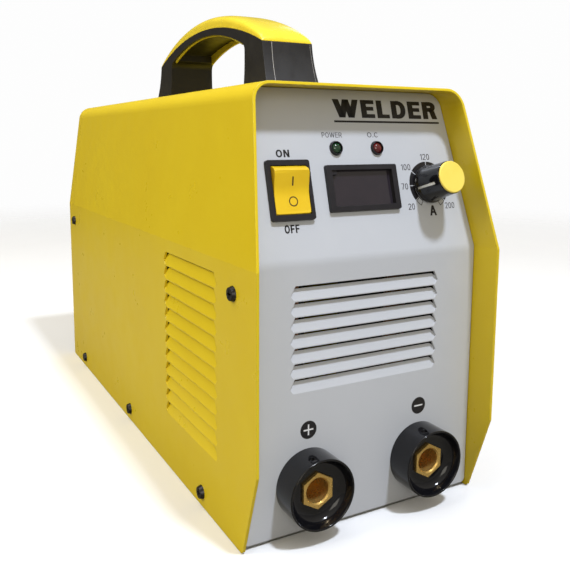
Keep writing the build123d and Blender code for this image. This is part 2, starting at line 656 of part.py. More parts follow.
HEX_R = 10.2           # circumradius of the brass hexagon
HEX_Y = 7.5            # its front face
for name, sx in (("neg", 1), ("pos", -1)):
    x = sx * SOCK_X
    line = Axis((x, fy(0), SOCK_Z), (0, 1, 0))
    with BuildPart() as socket_body:
        with BuildSketch(across(x, SOCK_Z)):
            with BuildLine():
                ThreePointArc((18.3, SOCK_Y + 0.5), (18.95, SOCK_Y), (SOCK_R, SOCK_Y + 0.6))
                Polyline((SOCK_R, SOCK_Y + 0.6), (SOCK_R, REC), (14.0, REC), (14.0, REC + 12), (0, REC + 12), (0, 9.2), (12.0, 9.2))
                ThreePointArc((12.0, 9.2), (15.6, 8.0), (17.4, 5.2))
                Line((17.4, 5.2), (18.3, SOCK_Y + 0.5))
            make_face()
        revolve(axis=line)
        with BuildSketch(front_plane(0)):
            with Locations((x, SOCK_Z)):
                RegularPolygon(HEX_R, 6, rotation=30)
        extrude(amount=-40, mode=Mode.SUBTRACT)
        # index dimple on top of the collar
        with BuildSketch(Plane.XY.offset(SOCK_Z + SOCK_R + 1)):
            with Locations((x - 4.7, fy(6.8))):
                Circle(1.7)
        extrude(amount=-2.6, mode=Mode.SUBTRACT)
    write(socket_body.part, "socket_body_" + name)

    with BuildPart() as socket_insert:
        with BuildSketch(front_plane(HEX_Y)):
            with Locations((x, SOCK_Z)):
                RegularPolygon(HEX_R, 6, rotation=30)
        extrude(amount=-(REC + 14 - HEX_Y))
        with BuildSketch(front_plane(REC + 14)):
            with Locations((x, SOCK_Z)):
                Circle(5.0)
        extrude(amount=-24)
        with BuildSketch(front_plane(HEX_Y - 1)):
            with Locations((x, SOCK_Z)):
                Circle(BORE_R)
        extrude(amount=-(BORE_LEN + 1), mode=Mode.SUBTRACT)
        mouth = socket_insert.edges().filter_by(GeomType.CIRCLE).sort_by(Axis.Y)[0]
        chamfer(mouth, 0.8)
    write(socket_insert.part, "socket_insert_" + name)

with BuildPart() as socket_nuts:
    with BuildSketch(front_plane(REC + T)):
        with Locations((-SOCK_X, SOCK_Z), (SOCK_X, SOCK_Z)):
            RegularPolygon(18.0, 6)
            Circle(14.0, mode=Mode.SUBTRACT)
    extrude(amount=-7)
write(socket_nuts.part, "socket_nuts")

with BuildPart() as stud_nuts:
    with BuildSketch(front_plane(44.0)):
        with Locations((-SOCK_X, SOCK_Z), (SOCK_X, SOCK_Z)):
            RegularPolygon(9.2, 6)
            Circle(5.0, mode=Mode.SUBTRACT)
    extrude(amount=-7)
write(stud_nuts.part, "stud_nuts")

# copper bars from the studs up to the power board
BAR_Y, BAR_Z, BOARD_Z = 41.5, 158.0, 150.0
with BuildPart() as busbars:
    for sx in (-1, 1):
        with BuildSketch(side_plane(sx * SOCK_X - 7)):
            with BuildLine():
                Polyline((BAR_Y, 18), (BAR_Y + 2.5, 18), (BAR_Y + 2.5, BAR_Z - 2.5), (136, BAR_Z - 2.5), (136, BAR_Z), (BAR_Y, BAR_Z), close=True)
            make_face()
        extrude(amount=14)
    with BuildSketch(front_plane(BAR_Y - 1)):
        with Locations((-SOCK_X, SOCK_Z), (SOCK_X, SOCK_Z)):
            Circle(5.2)
    extrude(amount=-5, mode=Mode.SUBTRACT)
write(busbars.part, "busbars")

# ---------------------------------------------------------------- fan
FAN_Y0 = Y_REAR - T - FAN_D          # inner face of the fan
HUB_R = 20.0
with BuildPart() as fan_frame:
    with BuildSketch(front_plane(FAN_Y0)) as s:
        with Locations((0, FAN_Z)):
            RectangleRounded(FAN_SIZE, FAN_SIZE, 7)
            Circle(57.5, mode=Mode.SUBTRACT)
        with Locations(*FAN_HOLES):
            Circle(1.95, mode=Mode.SUBTRACT)
    extrude(amount=-FAN_D)
    # waist between the two square flanges
    with BuildSketch(front_plane(FAN_Y0 + 4.5)):
        with Locations((0, FAN_Z)):
            Rectangle(FAN_SIZE + 2, FAN_SIZE + 2)
            Circle(60.4, mode=Mode.SUBTRACT)
    extrude(amount=-(FAN_D - 9), mode=Mode.SUBTRACT)
    # struts and hub plate on the inner side
    with BuildSketch(front_plane(FAN_Y0)):
        with Locations((0, FAN_Z)):
            Circle(HUB_R)
            with PolarLocations(0, 4, start_angle=45):
                with Locations((39, 0)):
                    Rectangle(41, 5)
    extrude(amount=-3.0)
    with BuildSketch(front_plane(FAN_Y0 + 2)):
        with Locations((0, FAN_Z)):
            Circle(4.5)
    extrude(amount=-20)
    with BuildSketch(front_plane(FAN_Y0 + 4)):
        with Locations((0, FAN_Z)):
            Circle(1.55)
    extrude(amount=-22, mode=Mode.SUBTRACT)
write(fan_frame.part, "fan_frame")

with BuildPart() as fan_rotor:
    with BuildSketch(front_plane(FAN_Y0 + 5)):
        with Locations((0, FAN_Z)):
            Circle(HUB_R + 0.5)
            Circle(HUB_R - 1.5, mode=Mode.SUBTRACT)
    extrude(amount=-(FAN_D - 9))
    with BuildSketch(front_plane(FAN_Y0 + FAN_D - 6)):
        with Locations((0, FAN_Z)):
            Circle(HUB_R + 0.5)
    extrude(amount=-2)
    with BuildSketch(front_plane(FAN_Y0 + 5)):
        with Locations((0, FAN_Z)):
            Circle(1.5)
    extrude(amount=-(FAN_D - 10))
    for i in range(7):
        a = 2 * pi * i / 7
        radial = Vector(cos(a), 0, sin(a))
        with BuildSketch(Plane(origin=Vector(0, fy(FAN_Y0 + 19), FAN_Z) + radial * (HUB_R - 0.5), x_dir=(0, 1, 0), z_dir=tuple(radial))):
            with BuildLine():
                Polyline((-12, -7.2), (-4, -1.2), (4, 2.6), (12, 4.6), (12, 6.2), (4, 4.4), (-4, 0.6), (-12, -5.2), close=True)
            make_face()
        extrude(amount=36.0)
write(fan_rotor.part, "fan_rotor")

RINGS = (9, 18, 27, 36, 45, 54)
with BuildPart() as fan_guard:
    with BuildSketch(front_plane(Y_REAR)):
        with Locations((0, FAN_Z)):
            for r in reversed(RINGS):
                Circle(r + 0.9)
                Circle(r - 0.9, mode=Mode.SUBTRACT)
            Rectangle(142, 1.8, rotation=45)
            Rectangle(142, 1.8, rotation=-45)
        with Locations(*FAN_HOLES):
            Circle(4.6)
            Circle(2.2, mode=Mode.SUBTRACT)
    extrude(amount=-1.8)
write(fan_guard.part, "fan_guard")

with BuildPart() as fan_screws:
    with BuildSketch(front_plane(Y_REAR + 1.8)):
        with Locations(*FAN_HOLES):
            Circle(3.9)
    extrude(amount=-2.4, taper=15)
    with BuildSketch(front_plane(Y_REAR + 2)):
        with Locations(*FAN_HOLES):
            Circle(1.95)
    extrude(amount=16)
    with BuildSketch(front_plane(Y_REAR + 4.4)):
        with Locations(*FAN_HOLES):
            Rectangle(4.0, 0.9)
            Rectangle(0.9, 4.0)
    extrude(amount=1.4, mode=Mode.SUBTRACT)
write(fan_screws.part, "fan_screws")

# ---------------------------------------------------------------- mains gland and earth stud
GLAND_BORE = 6.5


ADD, CUT = Mode.ADD, Mode.SUBTRACT
with BuildPart() as gland_body:
    for n0, n1, r, sides, mode in ((0, 6, 15.6, 6, ADD), (-9, 12, 11.0, 0, ADD), (-10, 13, GLAND_BORE, 0, CUT)):
        with BuildSketch(rear_plane(n0)):
            with Locations((GLAND_X, GLAND_W)):
                RegularPolygon(r, 6) if sides else Circle(r)
        extrude(amount=n1 - n0, mode=mode)
write(gland_body.part, "gland_body")

with BuildPart() as gland_locknut:
    with BuildSketch(rear_plane(-T)):
        with Locations((GLAND_X, GLAND_W)):
            RegularPolygon(15.6, 6)
            Circle(11.0, mode=Mode.SUBTRACT)
    extrude(amount=-5)
write(gland_locknut.part, "gland_locknut")

with BuildPart() as gland_seal:
    with BuildSketch(rear_plane(12)):
        with Locations((GLAND_X, GLAND_W)):
            Circle(10.8)
            Circle(GLAND_BORE, mode=Mode.SUBTRACT)
    extrude(amount=3)
write(gland_seal.part, "gland_seal")

with BuildPart() as gland_nut:
    with BuildSketch(rear_plane(6.4)):
        with Locations((GLAND_X, GLAND_W)):
            RegularPolygon(15.6, 6)
    extrude(amount=8.6)
    with BuildSketch(rear_plane(15)):
        with Locations((GLAND_X, GLAND_W)):
            Circle(13.3)
    extrude(amount=8, taper=24)
    for n0, n1, r in ((6, 15, 11.0), (14, 24, GLAND_BORE)):
        with BuildSketch(rear_plane(n0)):
            with Locations((GLAND_X, GLAND_W)):
                Circle(r)
        extrude(amount=n1 - n0, mode=Mode.SUBTRACT)
write(gland_nut.part, "gland_nut")

with BuildPart() as earth_stud:
    with BuildSketch(rear_plane(-T)):
        with Locations((STUD_X, STUD_W)):
            RegularPolygon(6.9, 6)
    extrude(amount=-4)
    with BuildSketch(rear_plane(-T - 1)):
        with Locations((STUD_X, STUD_W)):
            Circle(4.0)
    extrude(amount=6.2 + T + 1)
    with BuildSketch(rear_plane(6.2)):
        with Locations((STUD_X, STUD_W)):
            Circle(3.0)
    extrude(amount=9.8)
write(earth_stud.part, "earth_stud")

with BuildPart() as earth_nut:
    with BuildSketch(rear_plane(0)):
        with Locations((STUD_X, STUD_W)):
            Circle(7.8)
    extrude(amount=1.4)
    with BuildSketch(rear_plane(1.4)):
        with Locations((STUD_X, STUD_W)):
            RegularPolygon(6.9, 6)
    extrude(amount=4.8)
    with BuildSketch(rear_plane(-1)):
        with Locations((STUD_X, STUD_W)):
            Circle(4.0)
    extrude(amount=8, mode=Mode.SUBTRACT)
write(earth_nut.part, "earth_nut")

# ---------------------------------------------------------------- inside the case
IND_Y = 108.0
with BuildPart() as inductor_pad:
    with BuildSketch(Plane.XY.offset(T)):
        with Locations((0, fy(IND_Y))):
            Circle(38)
    extrude(amount=4.7)
write(inductor_pad.part, "inductor_pad")
with BuildPart() as inductor_core:
    with BuildSketch(Plane.XY.offset(10)):
        with Locations((0, fy(IND_Y))):
            Circle(42)
            Circle(22, mode=Mode.SUBTRACT)
    extrude(amount=30)
write(inductor_core.part, "inductor_core")
with BuildPart() as inductor_winding:
    for i in range(22):
        a = 2 * pi * i / 22
        radial = Vector(cos(a), sin(a), 0)
        pl = Plane(origin=Vector(0, fy(IND_Y), 0) - radial.cross(Vector(0, 0, 1)) * 1.7, x_dir=tuple(radial), z_dir=tuple(radial.cross(Vector(0, 0, 1))))
        up = 1 if pl.y_dir.Z > 0 else -1
        with BuildSketch(pl):
            with Locations((32, up * 25)):
                RectangleRounded(27.6, 37.6, 3)
                Rectangle(20.6, 30.6, mode=Mode.SUBTRACT)
        extrude(amount=3.4)
write(inductor_winding.part, "inductor_winding")

TR_Y = 216.0
with BuildPart() as transformer_core:
    with BuildSketch(front_plane(TR_Y - 20)):
        with Locations((0, 36)):
            Rectangle(68, 60)
            with Locations((-18, 0), (18, 0)):
                Rectangle(14, 44, mode=Mode.SUBTRACT)
    extrude(amount=-40)
write(transformer_core.part, "transformer_core")
with BuildPart() as transformer_winding:
    with BuildSketch(Plane.XY.offset(14)):
        with Locations((0, fy(TR_Y))):
            RectangleRounded(49, 64, 8)
            Rectangle(22, 40, mode=Mode.SUBTRACT)
    extrude(amount=44)
write(transformer_winding.part, "transformer_winding")
with BuildPart() as transformer_base:
    with BuildSketch(Plane.XY.offset(T)):
        with Locations((0, fy(TR_Y))):
            RectangleRounded(84, 56, 4)
    extrude(amount=4.5)
write(transformer_base.part, "transformer_base")

SINK_Z, SINK_Y0, SINK_Y1 = 140.0, 170.0, 322.0
with BuildPart() as heatsinks:
    for sx in (-1, 1):
        with BuildSketch(front_plane(SINK_Y0)):
            with Locations((sx * 36, SINK_Z - 3)):
                Rectangle(60, 6)
            with Locations((sx * 36, SINK_Z - 6 - 17)):
                with GridLocations(7.1, 0, 9, 1):
                    Rectangle(1.8, 34.2)
        extrude(amount=-(SINK_Y1 - SINK_Y0))
write(heatsinks.part, "heatsinks")
with BuildPart() as pillars:
    with BuildSketch(Plane.XY.offset(T)):
        with Locations(*[(sx * 50.2, fy(y)) for sx in (-1, 1) for y in (178, 314)]):
            Circle(5)
    extrude(amount=SINK_Z - 40.1 - T)
write(pillars.part, "pillars")
with BuildPart() as power_devices:
    with BuildSketch(Plane.XY.offset(SINK_Z)):
        with Locations(*[(sx * x, fy(y)) for sx in (-1, 1) for x in (20, 52) for y in (200, 240, 280)]):
            RectangleRounded(16, 21, 1)
    extrude(amount=5)
write(power_devices.part, "power_devices")
with BuildPart() as standoffs:
    with BuildSketch(Plane.XY.offset(SINK_Z)):
        with Locations(*[(sx * 36, fy(y)) for sx in (-1, 1) for y in (178, 246, 314)]):
            RegularPolygon(3.4, 6)
    extrude(amount=BOARD_Z - SINK_Z)
write(standoffs.part, "standoffs")
with BuildPart() as power_board:
    with BuildSketch(Plane.XY.offset(BOARD_Z)):
        with Locations((0, fy(228))):
            RectangleRounded(132, 214, 2)
    extrude(amount=1.6)
write(power_board.part, "power_board")
with BuildPart() as bus_terminals:
    with BuildSketch(Plane.XY.offset(BOARD_Z + 1.6)):
        with Locations((-SOCK_X, fy(129)), (SOCK_X, fy(129))):
            Rectangle(14, 12)
    extrude(amount=BAR_Z - 2.5 - BOARD_Z - 1.6)
write(bus_terminals.part, "bus_terminals")
CAPS = [(sx * 21, fy(y)) for sx in (-1, 1) for y in (200, 242)]
with BuildPart() as capacitors:
    with BuildSketch(Plane.XY.offset(BOARD_Z + 1.6)):
        with Locations(*CAPS):
            Circle(17.5)
    extrude(amount=46)
    fillet(capacitors.faces().group_by(Axis.Z)[-1].edges(), 1.5)
write(capacitors.part, "capacitors")
with BuildPart() as board_parts:
    with BuildSketch(Plane.XY.offset(BOARD_Z + 1.6)):
        with Locations((-30, fy(300)), (8, fy(300))):
            Rectangle(28, 16)
        with Locations((40, fy(290))):
            RectangleRounded(26, 30, 2)
        with Locations((-10, fy(158)), (14, fy(158))):
            Rectangle(18, 14)
    extrude(amount=18)
write(board_parts.part, "board_parts")
with BuildPart() as bridge_heatsink:
    with BuildSketch(front_plane(268)):
        with Locations((0, 37)):
            Rectangle(64, 6)
        with Locations((0, 17.8)):
            with GridLocations(7.6, 0, 9, 1):
                Rectangle(1.8, 32.6)
    extrude(amount=-56)
write(bridge_heatsink.part, "bridge_heatsink")
with BuildPart() as bridge_rectifier:
    with BuildSketch(Plane.XY.offset(40)):
        with Locations((0, fy(296))):
            RectangleRounded(28.5, 28.5, 1)
            Circle(2.6, mode=Mode.SUBTRACT)
    extrude(amount=10)
    with BuildSketch(Plane.XY.offset(50)):
        with Locations((0, fy(296))):
            with GridLocations(17, 17, 2, 2):
                Rectangle(6.3, 0.8)
    extrude(amount=10)
write(bridge_rectifier.part, "bridge_rectifier")
with BuildPart() as board_posts:
    with BuildSketch(panel_plane(-T)):
        with Locations((-24, 14), (60, 14), (-24, 68), (58, 68)):
            Circle(2.6)
    extrude(amount=-(-T - BOARD_N))
write(board_posts.part, "board_posts")
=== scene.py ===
import math

import bmesh
import bpy
from mathutils import Matrix, Vector


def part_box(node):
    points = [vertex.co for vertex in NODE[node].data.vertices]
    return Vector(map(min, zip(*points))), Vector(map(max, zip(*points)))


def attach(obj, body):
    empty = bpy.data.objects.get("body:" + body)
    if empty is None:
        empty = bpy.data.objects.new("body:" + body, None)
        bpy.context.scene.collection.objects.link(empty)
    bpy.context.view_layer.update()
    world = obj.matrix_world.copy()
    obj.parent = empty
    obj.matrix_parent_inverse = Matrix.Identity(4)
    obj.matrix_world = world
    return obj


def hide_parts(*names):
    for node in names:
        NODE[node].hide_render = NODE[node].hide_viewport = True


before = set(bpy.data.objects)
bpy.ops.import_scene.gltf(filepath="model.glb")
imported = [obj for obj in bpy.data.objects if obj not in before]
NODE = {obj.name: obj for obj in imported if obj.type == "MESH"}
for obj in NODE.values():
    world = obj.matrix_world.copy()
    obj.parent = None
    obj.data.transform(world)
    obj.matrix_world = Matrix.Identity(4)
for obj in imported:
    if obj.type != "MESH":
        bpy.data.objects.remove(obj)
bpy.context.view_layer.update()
MM = 0.001

# ------------------------------------------------------------------ geometry of the front
SLANT = math.atan2(25.0, 90.5)
UP = Vector((0, math.sin(SLANT), math.cos(SLANT)))
OUT = Vector((0, -math.cos(SLANT), math.sin(SLANT)))
PANEL_O = Vector((0, 18.0 - 199.0, 149.0))


def slant(x, w, n=0.0):
    # point on the slanted part of the front panel, mm in, metres out
    return (PANEL_O + Vector((x, 0, 0)) + UP * w + OUT * n) * MM


def lower(x, z, n=0.0):
    # point on the upright part of the front panel
    return Vector((x, 18.0 - 199.0 - n, z)) * MM


# ------------------------------------------------------------------ camera
cam_data = bpy.data.cameras.new("camera")
cam = bpy.data.objects.new("camera", cam_data)
bpy.context.scene.collection.objects.link(cam)
bpy.context.scene.camera = cam
yaw, pitch, roll = (math.radians(a) for a in (27.9934, 7.7561, -0.1336))
fwd = Vector((math.sin(yaw) * math.cos(pitch), math.cos(yaw) * math.cos(pitch), -math.sin(pitch)))
right = Vector((math.cos(yaw), -math.sin(yaw), 0))
down = fwd.cross(right)
r2 = right * math.cos(roll) + down * math.sin(roll)
d2 = -right * math.sin(roll) + down * math.cos(roll)
m = Matrix((r2, -d2, -fwd)).transposed().to_4x4()
m.translation = Vector((-0.22041, -0.47938, 0.21152))
cam.matrix_world = m
cam_data.sensor_width = 36.0
cam_data.lens = 690.46 * 36.0 / 570.0
cam_data.shift_x = (285.0 - 268.21) / 570.0
cam_data.shift_y = (232.75 - 285.0) / 570.0
cam_data.clip_start, cam_data.clip_end = 0.01, 50.0


# ------------------------------------------------------------------ materials
def srgb(r, g, b):
    def f(v):
        v /= 255.0
        return v / 12.92 if v <= 0.04045 else ((v + 0.055) / 1.055) ** 2.4

    return (f(r), f(g), f(b), 1.0)


def mixed(a, b, t):
    return tuple(x + (y - x) * t for x, y in zip(a, b))


class Finish:
    """A node material built up in layers over one Principled shader, in object space."""

    def __init__(self, name, base, rough=0.5, **sockets):
        self.mat = bpy.data.materials.new(name)
        self.mat.use_nodes = True
        self.tree = self.mat.node_tree
        self.tree.nodes.clear()
        self.bsdf = self.tree.nodes.new("ShaderNodeBsdfPrincipled")
        out = self.tree.nodes.new("ShaderNodeOutputMaterial")
        self.tree.links.new(self.bsdf.outputs[0], out.inputs[0])
        self.bsdf.inputs["Base Color"].default_value = base
        self.bsdf.inputs["Roughness"].default_value = rough
        for k, v in sockets.items():
            self.bsdf.inputs[k.replace("_", " ")].default_value = v
        self.mat.diffuse_color = base
        self.coords = self.tree.nodes.new("ShaderNodeTexCoord").outputs["Object"]
        self.colour = None
        self.base = base
        self.normal = None
        self.roughness = None
        self.rough = rough

    def node(self, kind, **values):
        n = self.tree.nodes.new(kind)
        for k, v in values.items():
            setattr(n, k, v)
        return n

    def link(self, a, b):
        self.tree.links.new(a, b)
        return self

    def noise(self, scale, detail=3.0, rough=0.55, stretch=None, distort=0.0):
        n = self.node("ShaderNodeTexNoise")
        n.inputs["Scale"].default_value = scale
        n.inputs["Detail"].default_value = detail
        n.inputs["Roughness"].default_value = rough
        n.inputs["Distortion"].default_value = distort
        src = self.coords
        if stretch:
            mp = self.node("ShaderNodeMapping")
            mp.inputs["Scale"].default_value = stretch
            self.link(src, mp.inputs[0])
            src = mp.outputs[0]
        self.link(src, n.inputs["Vector"])
        return n.outputs["Fac"]

    def remap(self, value, a, b, c=0.0, d=1.0, smooth=False):
        n = self.node("ShaderNodeMapRange")
        if smooth:
            n.interpolation_type = "SMOOTHSTEP"
        for k, v in zip(("From Min", "From Max", "To Min", "To Max"), (a, b, c, d)):
            n.inputs[k].default_value = v
        self.link(value, n.inputs["Value"])
        return n.outputs[0]

    def math(self, op, a, b):
        n = self.node("ShaderNodeMath", operation=op)
        for i, v in enumerate((a, b)):
            if isinstance(v, (int, float)):
                n.inputs[i].default_value = v
            else:
                self.link(v, n.inputs[i])
        return n.outputs[0]

    def tint(self, mask, colour):
        """Lays a second colour over the first where mask is 1."""
        n = self.node("ShaderNodeMix", data_type="RGBA", blend_type="MIX")
        self.link(mask, n.inputs[0])
        if self.colour is None:
            n.inputs[6].default_value = self.base
        else:
            self.link(self.colour, n.inputs[6])
        n.inputs[7].default_value = colour
        self.colour = n.outputs[2]
        return self

    def vary_rough(self, value, lo, hi):
        self.roughness = self.remap(value, 0.3, 0.7, lo, hi)
        return self

    def bump(self, height, strength, distance):
        n = self.node("ShaderNodeBump")
        n.inputs["Strength"].default_value = strength
        n.inputs["Distance"].default_value = distance
        self.link(height, n.inputs["Height"])
        if self.normal is not None:
            self.link(self.normal, n.inputs["Normal"])
        self.normal = n.outputs[0]
        return self

    def round_edges(self, radius):
        n = self.node("ShaderNodeBevel")
        n.samples = 4
        n.inputs["Radius"].default_value = radius
        self.normal = n.outputs[0]
        return self

    def edge_mask(self, radius, lo=0.02, hi=0.16):
        """1 along convex and concave edges, broken up by noise."""
        n = self.node("ShaderNodeBevel")
        n.samples = 4
        n.inputs["Radius"].default_value = radius
        g = self.node("ShaderNodeNewGeometry")
        d = self.node("ShaderNodeVectorMath", operation="DOT_PRODUCT")
        self.link(n.outputs[0], d.inputs[0])
        self.link(g.outputs["Normal"], d.inputs[1])
        off = self.math("SUBTRACT", 1.0, d.outputs["Value"])
        edge = self.remap(off, lo, hi)
        breakup = self.remap(self.noise(420, 4), 0.35, 0.7)
        return self.math("MULTIPLY", edge, breakup)

    def done(self):
        if self.colour is not None:
            self.link(self.colour, self.bsdf.inputs["Base Color"])
        if self.roughness is not None:
            self.link(self.roughness, self.bsdf.inputs["Roughness"])
        if self.normal is not None:
            self.link(self.normal, self.bsdf.inputs["Normal"])
        return self.mat


def powder_coat(name, base, shade, light, rough, edge, peel=0.10):
    f = Finish(name, base, rough[0], Coat_Weight=0.10, Coat_Roughness=0.16, Specular_IOR_Level=0.38)
    f.round_edges(0.00055)
    f.tint(f.remap(f.noise(7.5, 4, 0.6), 0.35, 0.68), shade)
    f.tint(f.remap(f.noise(46, 3, 0.5), 0.52, 0.82, 0, 0.3), light)
    # fine settled dust and pin-point specks in the coating
    f.tint(f.remap(f.noise(1500, 2, 0.4), 0.71, 0.76, 0, 0.35), shade)
    # painted highlight: a lighter copy of the paint colour laid along convex and concave edges
    f.tint(f.edge_mask(0.0007), edge)
    f.vary_rough(f.noise(58, 4), *rough)
    f.bump(f.noise(620, 2, 0.5), peel, 0.00012)
    f.bump(f.noise(1700, 2, 0.5), peel * 0.7, 0.00005)
    f.bump(f.noise(22, 2, 0.5), 0.06, 0.0005)
    return f.done()


def moulded(name, base, alt, rough, grain=0.25, grain_scale=1900, round_r=0.0004, scuff=None, **sockets):
    f = Finish(name, base, rough[0], **sockets)
    f.round_edges(round_r)
    f.tint(f.remap(f.noise(65, 4, 0.6), 0.4, 0.72), alt)
    if scuff:
        f.tint(f.math("MULTIPLY", f.edge_mask(0.0005), 0.5), scuff)
        # long fine rubs in the surface
        rub = f.remap(f.noise(90, 5, 0.7, stretch=(1.0, 9.0, 1.0)), 0.66, 0.74, 0, 0.22)
        f.tint(rub, scuff)
    f.vary_rough(f.noise(120, 4), *rough)
    f.bump(f.noise(grain_scale, 2, 0.6), grain, 0.00006)
    f.bump(f.noise(60, 2), 0.05, 0.0003)
    return f.done()


def metal(name, base, alt, rough, brushed=None, pits=0.15, **sockets):
    f = Finish(name, base, rough[0], Metallic=1.0, **sockets)
    f.round_edges(0.0003)
    f.tint(f.remap(f.noise(110, 5, 0.6), 0.38, 0.7), alt)
    f.vary_rough(f.noise(260, 4), *rough)
    if brushed:
        f.bump(f.noise(500, 3, 0.6, stretch=brushed), 0.22, 0.00005)
    f.bump(f.noise(1400, 3, 0.6), pits, 0.00004)
    return f.done()


MAT = {}
# the edge colour in these two paints is a painted highlight along the edges
MAT["cover_paint"] = powder_coat(
    "cover_yellow_paint", (0.80, 0.600, 0.012, 1), (0.77, 0.560, 0.010, 1), (0.83, 0.64, 0.020, 1),
    (0.27, 0.37), (0.88, 0.74, 0.10, 1), peel=0.12)
MAT["panel_paint"] = powder_coat(
    "panel_grey_paint", (0.575, 0.595, 0.640, 1), (0.545, 0.568, 0.612, 1), (0.612, 0.628, 0.664, 1),
    (0.36, 0.46), (0.72, 0.74, 0.78, 1), peel=0.09)
MAT["handle_yellow"] = moulded(
    "handle_yellow_plastic", (0.90, 0.70, 0.035, 1), (0.87, 0.66, 0.026, 1), (0.22, 0.30), grain=0.08, grain_scale=1300,
    round_r=0.0005, Coat_Weight=0.35, Coat_Roughness=0.08)
# painted shade: the lining is the cap's yellow plastic, given a darker olive copy of that yellow for the shade under
# the handle
MAT["lining_shaded_yellow"] = moulded(
    "lining_plastic_painted_shade", (0.50, 0.42, 0.030, 1), (0.42, 0.35, 0.025, 1), (0.42, 0.55), grain=0.2, round_r=0.0003)
MAT["knob_yellow"] = moulded(
    "knob_yellow_plastic", (0.97, 0.76, 0.13, 1), (0.95, 0.72, 0.10, 1), (0.38, 0.48), grain=0.2, round_r=0.0003)
MAT["rocker_yellow"] = moulded(
    "rocker_yellow_plastic", (0.90, 0.60, 0.014, 1), (0.87, 0.56, 0.011, 1), (0.30, 0.40), grain=0.14, round_r=0.0004,
    Coat_Weight=0.2, Coat_Roughness=0.15)
MAT["black_plastic"] = moulded(
    "black_moulded_plastic", (0.0085, 0.0078, 0.0092, 1), (0.013, 0.012, 0.014, 1), (0.38, 0.52), grain=0.35, grain_scale=1500,
    round_r=0.0006, scuff=(0.05, 0.048, 0.052, 1))
MAT["bezel_black"] = moulded(
    "bezel_black_plastic", (0.015, 0.0135, 0.0165, 1), (0.020, 0.018, 0.022, 1), (0.34, 0.46), grain=0.22,
    round_r=0.0003, scuff=(0.045, 0.042, 0.050, 1), Specular_IOR_Level=0.38)
MAT["gloss_black"] = moulded(
    "gloss_black_thermoset", (0.0045, 0.0045, 0.0060, 1), (0.008, 0.008, 0.010, 1), (0.07, 0.13), grain=0.05, grain_scale=900,
    round_r=0.0005, scuff=(0.030, 0.031, 0.036, 1), Coat_Weight=0.2, Coat_Roughness=0.04, Specular_IOR_Level=0.34)
# painted shade: a dark sheet material for the shade seen through the side louvres
MAT["shade_sheet_black"] = moulded(
    "painted_shade_sheet", (0.020, 0.020, 0.022, 1), (0.030, 0.029, 0.031, 1), (0.50, 0.64), grain=0.3, round_r=0.0002)
MAT["fan_plastic"] = moulded(
    "fan_black_plastic", (0.016, 0.016, 0.017, 1), (0.024, 0.024, 0.025, 1), (0.42, 0.55), grain=0.3, round_r=0.0004)
MAT["nylon"] = moulded(
    "gland_black_nylon", (0.018, 0.018, 0.019, 1), (0.026, 0.026, 0.027, 1), (0.40, 0.52), grain=0.3, round_r=0.0004)
MAT["white_ink"] = moulded(
    "white_pointer_ink", (0.86, 0.86, 0.84, 1), (0.78, 0.78, 0.76, 1), (0.35, 0.5), grain=0.1, round_r=0.0002)
MAT["plated_steel"] = metal(
    "zinc_plated_steel", (0.62, 0.63, 0.64, 1), (0.54, 0.545, 0.53, 1), (0.30, 0.44))
MAT["bright_steel"] = metal(
    "bright_steel", (0.74, 0.745, 0.75, 1), (0.66, 0.665, 0.67, 1), (0.16, 0.28), brushed=(1, 1, 14))
MAT["wire_steel"] = metal(
    "chromed_wire", (0.70, 0.705, 0.715, 1), (0.62, 0.625, 0.635, 1), (0.14, 0.24))
MAT["black_screw"] = metal(
    "blackened_screw_steel", (0.040, 0.039, 0.042, 1), (0.075, 0.073, 0.078, 1), (0.26, 0.42))
MAT["copper"] = metal(
    "copper_bar", (0.83, 0.42, 0.24, 1), (0.66, 0.31, 0.17, 1), (0.24, 0.40), brushed=(1, 10, 1))
MAT["heatsink_al"] = metal(
    "extruded_aluminium", (0.70, 0.705, 0.715, 1), (0.62, 0.625, 0.64, 1), (0.34, 0.48), brushed=(12, 0.6, 12))
MAT["window"] = None  # below


def brass():
    f = Finish("turned_brass", (0.76, 0.50, 0.15, 1), 0.26, Metallic=0.78)
    f.round_edges(0.0003)
    f.tint(f.remap(f.noise(160, 5, 0.65), 0.36, 0.72), (0.66, 0.42, 0.12, 1))
    f.tint(f.remap(f.noise(520, 4, 0.6), 0.62, 0.76, 0, 0.4), (0.44, 0.26, 0.08, 1))
    f.vary_rough(f.noise(300, 4), 0.20, 0.38)
    # turning marks run round the bore, so they vary only along it
    f.bump(f.noise(900, 3, 0.6, stretch=(0.15, 9.0, 0.15)), 0.30, 0.00006)
    f.bump(f.noise(700, 3, 0.6), 0.12, 0.00005)
    return f.done()


MAT["brass"] = brass()


def smoked_window():
    f = Finish("smoked_window", (0.060, 0.046, 0.062, 1), 0.07, IOR=1.49, Transmission_Weight=0.55,
               Coat_Weight=0.5, Coat_Roughness=0.03)
    f.tint(f.remap(f.noise(55, 4, 0.6), 0.35, 0.7), (0.045, 0.038, 0.055, 1))
    f.vary_rough(f.noise(140, 5, 0.65), 0.06, 0.16)
    f.bump(f.noise(800, 2), 0.02, 0.00003)
    return f.done()


MAT["window"] = smoked_window()


def lamp_lens(name, base, deep):
    f = Finish(name, base, 0.12, IOR=1.5, Transmission_Weight=0.35, Subsurface_Weight=0.25, Subsurface_Scale=0.002,
               Coat_Weight=0.7, Coat_Roughness=0.05)
    f.tint(f.remap(f.noise(320, 3), 0.38, 0.7), deep)
    f.vary_rough(f.noise(500, 3), 0.10, 0.20)
    f.bump(f.noise(1100, 2), 0.03, 0.00004)
    return f.done()


MAT["led_green"] = lamp_lens("lamp_green", (0.018, 0.085, 0.034, 1), (0.009, 0.045, 0.020, 1))
MAT["led_red"] = lamp_lens("lamp_red", (0.20, 0.016, 0.020, 1), (0.11, 0.010, 0.013, 1))


